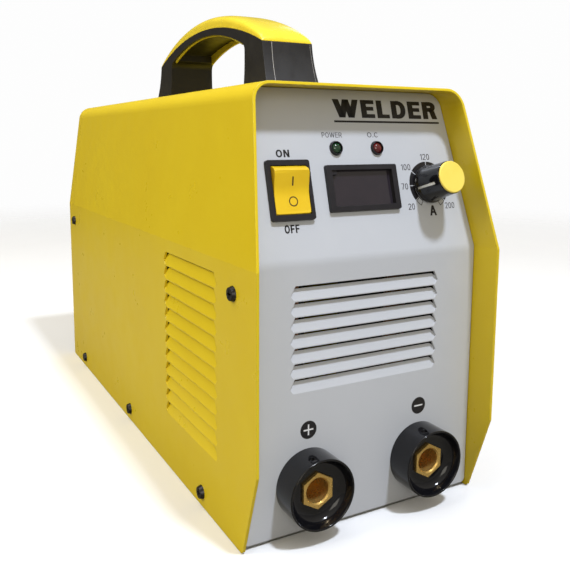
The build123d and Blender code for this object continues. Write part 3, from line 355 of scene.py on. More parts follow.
def digits():
    f = Finish("digit_block_grey", (0.050, 0.046, 0.052, 1), 0.45)
    f.tint(f.remap(f.noise(130, 4), 0.4, 0.7), (0.036, 0.034, 0.040, 1))
    f.vary_rough(f.noise(220, 3), 0.38, 0.55)
    f.bump(f.noise(1500, 2), 0.15, 0.00004)
    return f.done()


MAT["digit_face"] = digits()


def board(name, base, trace):
    """Solder-masked laminate with copper tracks showing through as lighter lines."""
    f = Finish(name, base, 0.32, Coat_Weight=0.4, Coat_Roughness=0.12)
    b = f.node("ShaderNodeTexBrick", offset=0.37, squash=0.7, squash_frequency=3)
    mp = f.node("ShaderNodeMapping")
    mp.inputs["Scale"].default_value = (130, 130, 130)
    mp.inputs["Rotation"].default_value = (0.0, 0.0, 0.785)
    f.link(f.coords, mp.inputs[0])
    f.link(mp.outputs[0], b.inputs["Vector"])
    b.inputs["Color1"].default_value = (0, 0, 0, 1)
    b.inputs["Color2"].default_value = (0.25, 0.25, 0.25, 1)
    b.inputs["Mortar"].default_value = (1, 1, 1, 1)
    b.inputs["Mortar Size"].default_value = 0.06
    b.inputs["Brick Width"].default_value = 1.7
    b.inputs["Row Height"].default_value = 0.42
    f.tint(f.math("MULTIPLY", b.outputs["Color"], 0.75), trace)
    v = f.node("ShaderNodeTexVoronoi")
    v.inputs["Scale"].default_value = 210
    f.link(f.coords, v.inputs["Vector"])
    f.tint(f.remap(v.outputs["Distance"], 0.10, 0.16, 1, 0), (0.62, 0.62, 0.60, 1))
    f.vary_rough(f.noise(90, 4), 0.26, 0.42)
    f.bump(b.outputs["Color"], 0.25, 0.00004)
    f.bump(f.noise(800, 2), 0.08, 0.00003)
    return f.done()


MAT["pcb"] = board("green_laminate", (0.012, 0.105, 0.040, 1), (0.030, 0.19, 0.075, 1))


def chips():
    f = Finish("component_black", (0.016, 0.016, 0.018, 1), 0.5)
    f.round_edges(0.0003)
    f.tint(f.remap(f.noise(240, 4), 0.4, 0.7), (0.034, 0.034, 0.036, 1))
    f.vary_rough(f.noise(300, 3), 0.42, 0.62)
    f.bump(f.noise(2600, 2), 0.35, 0.00004)
    return f.done()


MAT["chip"] = chips()


def windings(name, base, deep, axis, pitch):
    """Enamelled wire laid turn beside turn, the turns following one another along axis."""
    f = Finish(name, base, 0.28, Metallic=0.65, Coat_Weight=0.6, Coat_Roughness=0.12)
    w = f.node("ShaderNodeTexWave", wave_type="BANDS", bands_direction=axis, wave_profile="SIN")
    w.inputs["Scale"].default_value = math.pi / 10.0 / pitch
    w.inputs["Distortion"].default_value = 0.35
    w.inputs["Detail Scale"].default_value = 30.0
    f.link(f.coords, w.inputs["Vector"])
    # painted shade: darker in the troughs between neighbouring turns
    f.tint(f.remap(w.outputs["Fac"], 0.35, 0.0), deep)
    f.tint(f.remap(f.noise(180, 4), 0.5, 0.75, 0, 0.5), deep)
    f.vary_rough(f.noise(240, 3), 0.22, 0.38)
    f.bump(w.outputs["Fac"], 0.8, 0.0004)
    f.bump(f.noise(900, 2), 0.1, 0.00004)
    return f.done()


MAT["enamel_wire"] = windings("enamelled_copper_wire", (0.56, 0.20, 0.065, 1), (0.20, 0.06, 0.02, 1), "Z", 0.0016)
MAT["transformer_wire"] = windings("transformer_wire", (0.60, 0.24, 0.08, 1), (0.22, 0.07, 0.025, 1), "X", 0.0022)


def ferrite():
    f = Finish("sintered_ferrite", (0.050, 0.050, 0.054, 1), 0.55, Metallic=0.2)
    f.round_edges(0.0007)
    f.tint(f.remap(f.noise(900, 3), 0.5, 0.7), (0.095, 0.095, 0.10, 1))
    f.tint(f.remap(f.noise(40, 4), 0.4, 0.7, 0, 0.6), (0.032, 0.032, 0.035, 1))
    f.vary_rough(f.noise(160, 3), 0.46, 0.66)
    f.bump(f.noise(1700, 4, 0.7), 0.5, 0.00006)
    return f.done()


MAT["ferrite"] = ferrite()


def rubber():
    f = Finish("black_rubber", (0.017, 0.0165, 0.016, 1), 0.7, Sheen_Weight=0.12)
    f.round_edges(0.0005)
    f.tint(f.remap(f.noise(80, 4), 0.42, 0.7), (0.030, 0.029, 0.028, 1))
    f.vary_rough(f.noise(150, 3), 0.62, 0.82)
    f.bump(f.noise(1500, 4, 0.7), 0.45, 0.00007)
    return f.done()


MAT["seal_rubber"] = rubber()


def sleeve():
    """Shrunk vinyl sleeve with a pale stripe down one side of each can."""
    f = Finish("capacitor_sleeve", (0.016, 0.020, 0.045, 1), 0.3, Coat_Weight=0.5, Coat_Roughness=0.1)
    f.round_edges(0.0006)
    f.tint(f.remap(f.noise(55, 4), 0.4, 0.7), (0.010, 0.013, 0.032, 1))
    g = f.node("ShaderNodeNewGeometry")
    s = f.node("ShaderNodeSeparateXYZ")
    f.link(g.outputs["Normal"], s.inputs[0])
    f.tint(f.remap(s.outputs["X"], 0.90, 0.92), (0.52, 0.53, 0.56, 1))
    f.tint(f.remap(s.outputs["Z"], 0.90, 0.95), (0.55, 0.56, 0.58, 1))
    f.vary_rough(f.noise(120, 3), 0.24, 0.38)
    f.bump(f.noise(300, 3), 0.12, 0.0001)
    return f.done()


MAT["cap_sleeve"] = sleeve()


def ink(name, base, alt):
    f = Finish(name, base, 0.42)
    f.tint(f.remap(f.noise(520, 4, 0.6), 0.45, 0.75), alt)
    f.vary_rough(f.noise(400, 3), 0.34, 0.52)
    f.bump(f.noise(1300, 3), 0.12, 0.00003)
    return f.done()


MAT["ink_black"] = ink("screen_print_black", (0.0075, 0.0065, 0.0085, 1), (0.015, 0.013, 0.017, 1))
MAT["ink_grey"] = ink("screen_print_fine", (0.035, 0.032, 0.042, 1), (0.07, 0.066, 0.08, 1))
MAT["ink_white"] = ink("screen_print_white", (0.80, 0.81, 0.83, 1), (0.70, 0.71, 0.74, 1))
# painted highlight: light grey ink for the bright glint lines down the front leg
MAT["painted_leg_highlight"] = ink("leg_edge_glint_paint", (0.34, 0.33, 0.35, 1), (0.22, 0.22, 0.24, 1))
MAT["rocker_mark"] = ink("rocker_mark_print", (0.055, 0.028, 0.008, 1), (0.10, 0.055, 0.014, 1))

GIVE = {
    "cover": "cover_paint", "front_panel": "panel_paint", "rear_panel": "panel_paint", "base_plate": "plated_steel",
    "cover_screws": "black_screw", "handle_body": "black_plastic", "handle_cap": "handle_yellow",
    "handle_lining": "lining_shaded_yellow", "handle_screws": "black_screw", "switch_housing": "bezel_black",
    "switch_rocker": "rocker_yellow", "switch_terminals": "bright_steel", "display_bezel": "bezel_black",
    "display_window": "window", "display_digits": "digit_face", "led_holders": "bezel_black", "led_green": "led_green",
    "led_red": "led_red", "control_board": "pcb", "board_chips": "chip", "pot_body": "plated_steel",
    "pot_nut": "plated_steel", "pot_shaft": "bright_steel", "knob_body": "gloss_black", "knob_pointer": "white_ink",
    "knob_cap": "knob_yellow", "socket_nuts": "gloss_black", "stud_nuts": "brass", "busbars": "copper",
    "fan_frame": "fan_plastic", "fan_rotor": "fan_plastic", "fan_guard": "wire_steel", "fan_screws": "black_screw",
    "gland_body": "nylon", "gland_locknut": "nylon", "gland_seal": "seal_rubber", "gland_nut": "nylon",
    "earth_stud": "brass", "earth_nut": "brass", "inductor_pad": "seal_rubber", "inductor_core": "ferrite",
    "inductor_winding": "enamel_wire", "transformer_core": "ferrite", "transformer_winding": "transformer_wire",
    "transformer_base": "seal_rubber", "heatsinks": "heatsink_al", "pillars": "nylon", "power_devices": "chip",
    "standoffs": "brass", "power_board": "pcb", "bus_terminals": "brass", "capacitors": "cap_sleeve",
    "board_parts": "chip", "bridge_heatsink": "heatsink_al", "bridge_rectifier": "chip", "board_posts": "brass",
}
for name, o in NODE.items():
    key = GIVE.get(name)
    if key is None:
        key = "gloss_black" if name.startswith("socket_body") else "brass"
    if not o.data.materials:
        o.data.materials.append(MAT[key])
    for s in o.material_slots:
        s.material = MAT[key]


# ------------------------------------------------------------------ pieces
def piece(name, mesh, material, body="case", smooth=False):
    o = bpy.data.objects.new(name, mesh)
    bpy.context.scene.collection.objects.link(o)
    mesh.materials.clear()
    mesh.materials.append(MAT[material])
    for p in mesh.polygons:
        p.use_smooth = smooth
    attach(o, body)
    return o


def from_bm(name, bm):
    bmesh.ops.recalc_face_normals(bm, faces=bm.faces)
    me = bpy.data.meshes.new(name)
    bm.to_mesh(me)
    bm.free()
    return me


def prism(bm, outline, place, low, high, holes=()):
    """A thin closed plate: outline (and holes) in the plane, between two heights."""
    tmp = bmesh.new()
    edges = []
    for loop in (outline, *holes):
        vs = [tmp.verts.new((x, y, 0)) for x, y in loop]
        edges += [tmp.edges.new((vs[i], vs[(i + 1) % len(vs)])) for i in range(len(vs))]
    bmesh.ops.triangle_fill(tmp, edges=edges, use_beauty=True)
    tmp.verts.ensure_lookup_table()
    top = [bm.verts.new(place(v.co.x, v.co.y, high)) for v in tmp.verts]
    bot = [bm.verts.new(place(v.co.x, v.co.y, low)) for v in tmp.verts]
    for f in tmp.faces:
        ids = [v.index for v in f.verts]
        bm.faces.new([top[i] for i in ids])
        bm.faces.new([bot[i] for i in reversed(ids)])
    k = 0
    for loop in (outline, *holes):
        n = len(loop)
        for i in range(n):
            a, b = k + i, k + (i + 1) % n
            bm.faces.new([top[a], top[b], bot[b], bot[a]])
        k += n
    tmp.free()


def circle(cx, cy, r, n=64, a0=0.0, a1=2 * math.pi):
    return [(cx + r * math.cos(a0 + (a1 - a0) * i / n), cy + r * math.sin(a0 + (a1 - a0) * i / n)) for i in range(n)]


def sector(cx, cy, ra, rb, deg0, deg1, n=24):
    a = [math.radians(deg0 + (deg1 - deg0) * i / n) for i in range(n + 1)]
    return [(cx + rb * math.cos(t), cy + rb * math.sin(t)) for t in a] + \
           [(cx + ra * math.cos(t), cy + ra * math.sin(t)) for t in reversed(a)]


def rect(x0, x1, y0, y1):
    return [(x0, y0), (x1, y0), (x1, y1), (x0, y1)]


INK_LOW, INK_HIGH = 0.02, 0.06


def ribbon(bm, path, thick, place, closed=False):
    """A flat stroke of one thickness along a path, as a thin closed plate."""
    n = len(path)
    lft, rgt = [], []
    for i in range(n):
        a = path[(i - 1) % n] if (closed or i) else path[i]
        b = path[(i + 1) % n] if (closed or i < n - 1) else path[i]
        c = path[i]
        d0 = Vector((c[0] - a[0], c[1] - a[1]))
        d1 = Vector((b[0] - c[0], b[1] - c[1]))
        if d0.length < 1e-9:
            d0 = d1
        if d1.length < 1e-9:
            d1 = d0
        d0.normalize()
        d1.normalize()
        t = (d0 + d1).normalized()
        m = Vector((-t.y, t.x))
        k = thick / 2 / max(0.5, m.dot(Vector((-d0.y, d0.x))))
        lft.append((c[0] + m.x * k, c[1] + m.y * k))
        rgt.append((c[0] - m.x * k, c[1] - m.y * k))
    v = [[bm.verts.new(place(x, y, h)) for x, y in side] for side in (lft, rgt) for h in (INK_HIGH, INK_LOW)]
    lt, lb, rt, rb = v
    for i in range(n if closed else n - 1):
        j = (i + 1) % n
        bm.faces.new((lt[i], lt[j], rt[j], rt[i]))
        bm.faces.new((lb[j], lb[i], rb[i], rb[j]))
        bm.faces.new((lt[j], lt[i], lb[i], lb[j]))
        bm.faces.new((rt[i], rt[j], rb[j], rb[i]))
    if not closed:
        bm.faces.new((lt[0], rt[0], rb[0], lb[0]))
        bm.faces.new((rt[-1], lt[-1], lb[-1], rb[-1]))


def bow(cx, cy, rx, ry, deg0, deg1, n=14, power=2.3):
    """Part of a squarish ellipse."""
    out = []
    for i in range(n + 1):
        a = math.radians(deg0 + (deg1 - deg0) * i / n)
        c, s = math.cos(a), math.sin(a)
        k = (abs(c) ** power + abs(s) ** power) ** (-1.0 / power)
        out.append((cx + rx * k * c, cy + ry * k * s))
    return out


def glyph(ch, t, wide):
    """Strokes of one capital or figure of height 1: its width, plates and ribbons."""
    h = 0.86 * t                  # horizontals are thinner
    bars, curves = [], []

    def bar(x0, x1, y0, y1):
        bars.append(rect(x0, x1, y0, y1))

    def lean(xt, xb, y1=1.0, y0=0.0, k=1.06):
        bars.append([(xb, y0), (xb + t * k, y0), (xt + t * k, y1), (xt, y1)])

    w = {"W": 1.22, "E": 0.66, "L": 0.62, "D": 0.74, "R": 0.75, "O": 0.80, "N": 0.74, "F": 0.62, "P": 0.70, "C": 0.76,
         "A": 0.82, "0": 0.60, "1": 0.34, "2": 0.60, "6": 0.60, "7": 0.58, ".": 0.26}[ch] * wide
    if ch == "W":
        lean(0, 0.21 * w)
        lean(0.5 * w - t / 2, 0.21 * w)
        lean(0.5 * w - t / 2, 0.79 * w - t)
        lean(w - t, 0.79 * w - t)
    elif ch in "EFLPRD":
        bar(0, t, 0, 1)
        if ch in "EF":
            bar(t * 0.9, w, 1 - h, 1)
            bar(t * 0.9, w * 0.93, 0.52 - h / 2 + (0 if ch == "E" else -0.02), 0.52 + h / 2 + (0 if ch == "E" else -0.02))
        if ch in "EL":
            bar(t * 0.9, w, 0, h)
        if ch == "D":
            c = w * 0.42
            curves.append(([(t * 0.9, 1 - h / 2)] + bow(c, 0.5, w - t / 2 - c, 0.5 - h / 2, 90, -90, 20) + [(t * 0.9, h / 2)], False))
        if ch in "PR":
            low = 0.44 if ch == "R" else 0.40
            mid, half = (1 + low) / 2, (1 - low) / 2
            c = w * 0.52
            curves.append(([(t * 0.9, 1 - h / 2)] + bow(c, mid, w * 0.96 - t / 2 - c, half - h / 2, 90, -90, 14) + [(t * 0.9, low + h / 2)], False))
        if ch == "R":
            lean(w * 0.44, w - t * 1.02, y1=low + h * 0.6)
    elif ch in "O0":
        curves.append((bow(w / 2, 0.5, w / 2 - t / 2, 0.5 - h / 2, 0, 360, 36)[:-1], True))
    elif ch == "C":
        curves.append((bow(w / 2, 0.5, w / 2 - t / 2, 0.5 - h / 2, 42, 318, 28), False))
    elif ch == "N":
        bar(0, t, 0, 1)
        bar(w - t, w, 0, 1)
        lean(0, w - t * 1.06)
    elif ch == "A":
        lean(w / 2 - t * 0.53, 0)
        lean(w / 2 - t * 0.53, w - t * 1.06)
        bar(w * 0.22, w * 0.78, 0.25, 0.25 + h)
    elif ch == "1":
        bar(w - t, w, 0, 1)
        bars.append([(0, 0.80 - h * 0.5), (w - t * 0.6, 0.86 - h * 0.2), (w - t * 0.6, 0.99), (0, 0.80 + h * 0.5)])
    elif ch == "2":
        c = bow(w / 2, 0.71, w / 2 - t / 2, 0.29 - h / 2, 168, -28, 16)
        curves.append((c + [(w * 0.52, 0.34), (t * 0.55, h * 0.55)], False))
        bar(0, w, 0, h)
    elif ch == "6":
        curves.append((bow(w / 2, 0.31, w / 2 - t / 2, 0.31 - h / 2, 0, 360, 28)[:-1], True))
        curves.append((bow(w * 0.56, 0.5, w * 0.56 - t / 2, 0.5 - h / 2, 58, 190, 16), False))
    elif ch == "7":
        bar(0, w, 1 - h, 1)
        lean(w - t * 1.05, w * 0.22, y1=1 - h * 0.5)
    elif ch == ".":
        bar(w / 2 - t * 0.6, w / 2 + t * 0.6, 0, t * 1.2)
    return w, bars, curves


def label(name, string, x0, x1, w0, w1, bold=0.12, wide=1.0, gap=0.14, material="ink_black", place=slant):
    """Printed lettering fitted to the box x0..x1, w0..w1 on the panel."""
    at, laid = 0.0, []
    for ch in string:
        w, bars, curves = glyph(ch, bold, wide)
        laid.append((at, bars, curves))
        at += w + gap
    total = at - gap
    sx, sy = (x1 - x0) / total, w1 - w0

    def put(u, v, n):
        return place(x0 + u * sx, w0 + v * sy, n)

    bm = bmesh.new()
    for off, bars, curves in laid:
        for b in bars:
            prism(bm, [(off + u, v) for u, v in b], put, INK_LOW, INK_HIGH)
        for c, closed in curves:
            ribbon(bm, [(off + u, v) for u, v in c], bold * 0.94, put, closed)
    return piece(name, from_bm(name, bm), material)


label("print_on", "ON", -49.5, -41.5, 55.0, 59.0, bold=0.215, gap=0.16)
label("print_off", "OFF", -49.9, -41.1, 15.3, 19.6, bold=0.215, gap=0.15)
label("print_power", "POWER", -20.1, -7.2, 65.6, 68.4, bold=0.13, gap=0.15, material="ink_grey")
label("print_overcurrent", "O.C", 9.7, 17.2, 65.8, 68.6, bold=0.13, gap=0.12, material="ink_grey")
label("print_unit", "A", 46.2, 51.2, 19.8, 25.7, bold=0.21)
for text, cx, cw, wide in (("20", 33.6, 25.6, 4.6), ("70", 30.8, 37.3, 4.6), ("100", 33.4, 48.4, 6.6),
                           ("120", 48.3, 54.2, 6.6), ("160", 65.0, 45.6, 6.6), ("200", 61.7, 25.2, 7.0)):
    label("dial_" + text, text, cx - wide / 2, cx + wide / 2, cw - 1.75, cw + 1.75, bold=0.13, gap=0.16, material="ink_grey")
label("header", "WELDER", -10.6, 62.2, 76.9, 87.2, bold=0.25, wide=0.92, gap=0.11)

bm = bmesh.new()
prism(bm, rect(-10.9, 63.0, 74.1, 75.2), slant, INK_LOW, INK_HIGH)
piece("header_rule", from_bm("header_rule", bm), "ink_black")

KX, KW = 48.2, 37.6
bm = bmesh.new()
for d0, d1 in ((-41.6, 22.9), (25.1, 88.9), (91.1, 141.9), (144.1, 178.9), (181.1, 217.4)):
    prism(bm, sector(KX, KW, 10.4, 13.8, d0, d1), slant, INK_LOW, INK_HIGH)
for d0, d1 in ((219.6, 238.0), (-62.2, -43.8)):
    a, b = math.radians(0.9), 0.35
    outer = sector(KX, KW, 10.4, 13.8, d0, d1, 10)
    inner = sector(KX, KW, 10.4 + b, 13.8 - b, d0 + 1.6, d1 - 1.6, 10)
    prism(bm, outer, slant, INK_LOW, INK_HIGH, holes=(inner,))
piece("dial_scale", from_bm("dial_scale", bm), "ink_black")

for name, x, z in (("plus", -37.3, 58.3), ("minus", 37.3, 58.1)):
    t, r = 0.42, 3.0
    if name == "plus":
        cross = [(x - t, z - r), (x + t, z - r), (x + t, z - t), (x + r, z - t), (x + r, z + t), (x + t, z + t),
                 (x + t, z + r), (x - t, z + r), (x - t, z + t), (x - r, z + t), (x - r, z - t), (x - t, z - t)]
    else:
        cross = rect(x - r, x + r, z - t, z + t)
    bm = bmesh.new()
    prism(bm, circle(x, z, 5.0), lower, INK_LOW, INK_HIGH, holes=(cross,))
    piece("disc_" + name, from_bm("disc_" + name, bm), "ink_black")
    bm = bmesh.new()
    prism(bm, cross, lower, INK_LOW, INK_HIGH)
    piece("mark_" + name, from_bm("mark_" + name, bm), "ink_white")

# ---- rocker: moulded key with a dished face, rounded corners and rounded rim
SX, SW = -44.2, 37.4
PIV, ROCK_R, HALF_X = -4.0, math.hypot(11.2, 8.0), 10.3
LOW_W, MID_W, TOP_W = -12.419, -1.046, 9.641
LOW_N, TOP_N = 1.933, 5.823


def face_n(w):
    """Height of the rocker's face above the panel at w, along its middle."""
    k = (TOP_N - LOW_N) / (TOP_W - MID_W)
    d, soft = w - MID_W, 3.2
    if d <= -soft:
        rise = 0.0
    elif d >= soft:
        rise = k * d
    else:
        rise = k * (d + soft) ** 2 / (4 * soft)
    return LOW_N + rise


def key(w, x, n):
    # rocker coordinates to the row frame
    return slant(SX + x, SW + w, n)


bm = bmesh.new()
prof = []
steps = 26
for i in range(steps + 1):
    w = LOW_W + (TOP_W - LOW_W) * i / steps
    prof.append((w, face_n(w)))


def arc_pts(w, n, w_end, n_end, count):
    a0, a1 = math.atan2(n - PIV, w), math.atan2(n_end - PIV, w_end)
    return [(ROCK_R * math.cos(a0 + (a1 - a0) * i / count), PIV + ROCK_R * math.sin(a0 + (a1 - a0) * i / count)) for i in range(1, count + 1)]


top_a = math.atan2(TOP_N - PIV, TOP_W)
end_b = (ROCK_R * math.cos(math.radians(-4)), PIV + ROCK_R * math.sin(math.radians(-4)))
end_a = (ROCK_R * math.cos(math.radians(176)), PIV + ROCK_R * math.sin(math.radians(176)))
prof += arc_pts(TOP_W, TOP_N, *end_b, 9)
prof += [end_a]
low_a = math.atan2(LOW_N - PIV, LOW_W)
prof += [(ROCK_R * math.cos(a), PIV + ROCK_R * math.sin(a))
         for a in [math.radians(176) + (low_a - math.radians(176)) * i / 4 for i in range(1, 4)]]
left = [bm.verts.new(key(w, -HALF_X, n)) for w, n in prof]
rite = [bm.verts.new(key(w, HALF_X, n)) for w, n in prof]
count = len(prof)
face_rim, corners = [], []
for i in range(count):
    j = (i + 1) % count
    bm.faces.new((left[i], left[j], rite[j], rite[i]))
bm.faces.new(left)
bm.faces.new(list(reversed(rite)))
bm.edges.ensure_lookup_table()


def edge_of(a, b):
    return next(e for e in a.link_edges if e.other_vert(a) is b)


top_i = steps
for side in (left, rite):
    for i in range(top_i, top_i + 9):
        corners.append(edge_of(side[i], side[i + 1]))
    chain = [0] + list(range(count - 1, count - 4, -1))
    for i, j in zip(chain, chain[1:]):
        corners.append(edge_of(side[i], side[j]))
bmesh.ops.bevel(bm, geom=corners, offset=0.0020, segments=5, profile=0.5, affect="EDGES", clamp_overlap=False)
# rim of the face: every edge where the face meets a side or an end
rim = []
for e in bm.edges:
    if len(e.link_faces) != 2:
        continue
    up = [abs(f.normal.normalized().dot(OUT)) > 0.86 and sum((v.co - slant(SX, SW, -1)).dot(OUT) for v in f.verts) / len(f.verts) > 0.0024 for f in e.link_faces]
    if up[0] != up[1]:
        rim.append(e)
bmesh.ops.bevel(bm, geom=rim, offset=0.0009, segments=4, profile=0.5, affect="EDGES", clamp_overlap=True)
rocker = piece("rocker_key", from_bm("rocker_key", bm), "rocker_yellow", body="rocker", smooth=True)
rocker.modifiers.new("shade", "WEIGHTED_NORMAL").keep_sharp = True
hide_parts("switch_rocker")


def on_face(x, w, n):
    return key(w, x, face_n(w) + n)


bm = bmesh.new()
bar = [(0.5 - 0.42, 2.0 + 4.4 * i / 6) for i in range(7)]
prism(bm, [(0.92, 2.0), (0.92, 3.5), (0.92, 5.0), (0.92, 6.4), (0.08, 6.4), (0.08, 5.0), (0.08, 3.5), (0.08, 2.0)], on_face, 0.01, 0.05)
prism(bm, circle(0.5, -6.0, 2.65, 48), on_face, 0.01, 0.05, holes=(circle(0.5, -6.0, 2.05, 48),))
piece("rocker_marks", from_bm("rocker_marks", bm), "rocker_mark", body="rocker")

# ---- handle cap: a pillowed cover plate over the grip, in the CAD cap's place
HX, HY, HALF = -1.4, 199.0, 17.85


def bow_z(y, half, z_end, z_mid):
    """Height of a circular bow over the handle at y."""
    s = z_mid - z_end
    r = (half * half + s * s) / (2 * s)
    d = min(abs(y - HY), half + 3)
    return z_mid - r + math.sqrt(max(r * r - d * d, 0.0))


def row(x, y, z):
    return Vector((x, y - 199.0, z)) * MM


bm = bmesh.new()
along, across = 84, 30
grid = []
for i in range(along + 1):
    # stations crowd towards both ends, where the plate turns down
    s = math.sin(math.pi / 2 * (2 * i / along - 1))
    y = HY + 92.3 * s
    z0 = bow_z(y, 92.5, 271.3, 289.3) + 0.04
    rise = bow_z(y, 91.0, 276.6, 298.5) - z0
    sharp = 26.0 if s < 0 else 7.0
    rise *= max(1.0 - abs(s) ** sharp, 0.0) ** (1 / 2.4)
    line = []
    for j in range(across + 1):
        a = math.pi * (1 - j / across)
        c, q = math.cos(a), math.sin(a)
        p_ = 3.9
        x = HX + HALF * math.copysign(abs(c) ** (2 / p_), c)
        line.append((x, y, z0 + rise * abs(q) ** (2 / p_)))
    grid.append([bm.verts.new(row(*v)) for v in line])
for i in range(along):
    for j in range(across):
        quad = (grid[i][j], grid[i + 1][j], grid[i + 1][j + 1], grid[i][j + 1])
        bm.faces.new(quad)
# underside, following the joint with the body
for i in range(along):
    bm.faces.new((grid[i][0], grid[i][across], grid[i + 1][across], grid[i + 1][0]))
bm.faces.new(grid[0])
bm.faces.new(list(reversed(grid[along])))
bmesh.ops.remove_doubles(bm, verts=bm.verts, dist=2e-6)
me = from_bm("handle_cap_plate", bm)
cap = piece("handle_cap_plate", me, "handle_yellow", smooth=True)
me.set_sharp_from_angle(angle=math.radians(50))
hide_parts("handle_cap")


def leg_front(x, z, n):
    # front face of the front leg: an arc through (103, 240), (96.7, 254.5), (92.5, 271.3) from the middle
    ax, az, bx, bz, cx, cz = 103.0, 240.0, 96.7, 254.5, 92.5, 271.3
    d = 2 * (ax * (bz - cz) + bx * (cz - az) + cx * (az - bz))
    ux = ((ax * ax + az * az) * (bz - cz) + (bx * bx + bz * bz) * (cz - az) + (cx * cx + cz * cz) * (az - bz)) / d
    uz = ((ax * ax + az * az) * (cx - bx) + (bx * bx + bz * bz) * (ax - cx) + (cx * cx + cz * cz) * (bx - ax)) / d
    r = math.hypot(ax - ux, az - uz)
    half = ux - math.sqrt(r * r - (z - uz) ** 2)
    # the arc is hollow towards the front, so outwards is towards its centre
    return row(x, HY - half - n, z)


# painted highlight: thin light grey strips down the front leg's face, where bright edge glints show
bm = bmesh.new()
for x_top, x_low, wide in ((-12.7, -13.9, 0.40), (14.9, 15.6, 0.18)):
    out = [(x_low + (x_top - x_low) * k / 14 - wide / 2, 240.3 + 30.8 * k / 14) for k in range(15)]
    back_ = [(u + wide, z) for u, z in reversed(out)]
    n_ = len(out)
    rings = []
    for k in range(n_):
        (u0, z), (u1, _) = out[k], back_[n_ - 1 - k]
        rings.append([bm.verts.new(leg_front(u, z, h)) for u, h in ((u0, -0.15), (u0, 0.05), (u1, 0.05), (u1, -0.15))])
    for a, b in zip(rings, rings[1:]):
        for k in range(4):
            bm.faces.new((a[k], a[(k + 1) % 4], b[(k + 1) % 4], b[k]))
    bm.faces.new(rings[0])
    bm.faces.new(list(reversed(rings[-1])))
piece("leg_painted_highlights", from_bm("leg_painted_highlights", bm), "painted_leg_highlight")

# ---- dark sheets standing inside the cover, just clear of the side louvres, as painted shade behind the louvres
SHEET = (38.0, 152.0, 1.7, 147.0, 6.0)
for side_name, sx in (("left", -1), ("right", 1)):
    y0, y1, z0, z1, rc = SHEET
    line_ = []
    for cy_, cz_, a0 in ((y1 - rc, z0 + rc, -90), (y1 - rc, z1 - rc, 0), (y0 + rc, z1 - rc, 90), (y0 + rc, z0 + rc, 180)):
        for k in range(7):
            a_ = math.radians(a0 + 15 * k)
            line_.append((cy_ + rc * math.cos(a_), cz_ + rc * math.sin(a_)))
    bm = bmesh.new()
    prism(bm, line_, lambda y, z, n, sx=sx: row(sx * (69.6 + n), y, z), 0.0, 0.6)
    piece("shade_sheet_" + side_name, from_bm("shade_sheet_" + side_name, bm), "shade_sheet_black")

# ---- fan guard: welded wire rings on four legs, in the CAD guard's place
lo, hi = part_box("fan_guard")
gc = (lo + hi) / 2
wire = 0.00115


def tube(bm, path, r, closed=False, ring=10):
    """Round wire along a path."""
    pts = [Vector(p) for p in path]
    n = len(pts)
    rings = []
    for i, p in enumerate(pts):
        a = pts[(i - 1) % n] if (closed or i) else p
        b = pts[(i + 1) % n] if (closed or i < n - 1) else p
        t = (b - a).normalized()
        side = t.cross(Vector((0, 1, 0)))
        if side.length < 0.2:
            side = t.cross(Vector((1, 0, 0)))
        side.normalize()
        up = side.cross(t)
        rings.append([bm.verts.new(p + side * r * math.cos(2 * math.pi * k / ring) + up * r * math.sin(2 * math.pi * k / ring)) for k in range(ring)])
    for i in range(n if closed else n - 1):
        a, b = rings[i], rings[(i + 1) % n]
        for k in range(ring):
            bm.faces.new((a[k], a[(k + 1) % ring], b[(k + 1) % ring], b[k]))
    if not closed:
        bm.faces.new(rings[0])
        bm.faces.new(list(reversed(rings[-1])))


bm = bmesh.new()
y_ring, y_leg = hi.y - wire * 1.02, lo.y + wire * 1.02
for r in (0.0105, 0.0195, 0.0285, 0.0375, 0.0465, 0.0550):
    tube(bm, [(gc.x + r * math.cos(2 * math.pi * i / 72), y_ring, gc.z + r * math.sin(2 * math.pi * i / 72)) for i in range(72)], wire, closed=True)
fan_screw = 0.0525
for sx in (-1, 1):
    for sz in (-1, 1):
        d = Vector((sx, 0, sz)).normalized()
        # a radial leg that ends in an eye round the screw
        eye_c = Vector((gc.x + sx * fan_screw, y_leg, gc.z + sz * fan_screw))
        r_eye = 0.0031
        start = Vector((gc.x, y_leg, gc.z)) + d * 0.0075
        end = eye_c - d * r_eye
        tube(bm, [start + (end - start) * i / 8 for i in range(9)], wire)
        side = d.cross(Vector((0, 1, 0)))
        tube(bm, [eye_c - d * r_eye * math.cos(2 * math.pi * i / 28) + side * r_eye * math.sin(2 * math.pi * i / 28) for i in range(28)], wire, closed=True)
guard = piece("fan_guard_wires", from_bm("fan_guard_wires", bm), "wire_steel", smooth=True)
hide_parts("fan_guard")

# ------------------------------------------------------------------ floor, light
bm = bmesh.new()
SEG = 64
loops = []
for r in (0.3, 0.8, 1.4, 2.2):
    loops.append([bm.verts.new((r * math.cos(2 * math.pi * i / SEG), r * math.sin(2 * math.pi * i / SEG), -0.0002)) for i in range(SEG)])
mid = bm.verts.new((0, 0, -0.0002))
for i in range(SEG):
    bm.faces.new((mid, loops[0][i], loops[0][(i + 1) % SEG]))
for a, b in zip(loops, loops[1:]):
    for i in range(SEG):
        bm.faces.new((a[i], b[i], b[(i + 1) % SEG], a[(i + 1) % SEG]))
f = Finish("floor_pale", (0.90, 0.90, 0.905, 1), 0.75)
f.tint(f.remap(f.noise(3.0, 3), 0.35, 0.7), (0.885, 0.885, 0.895, 1))
f.vary_rough(f.noise(9, 3), 0.7, 0.8)
f.bump(f.noise(300, 2), 0.02, 0.0002)
f.done()
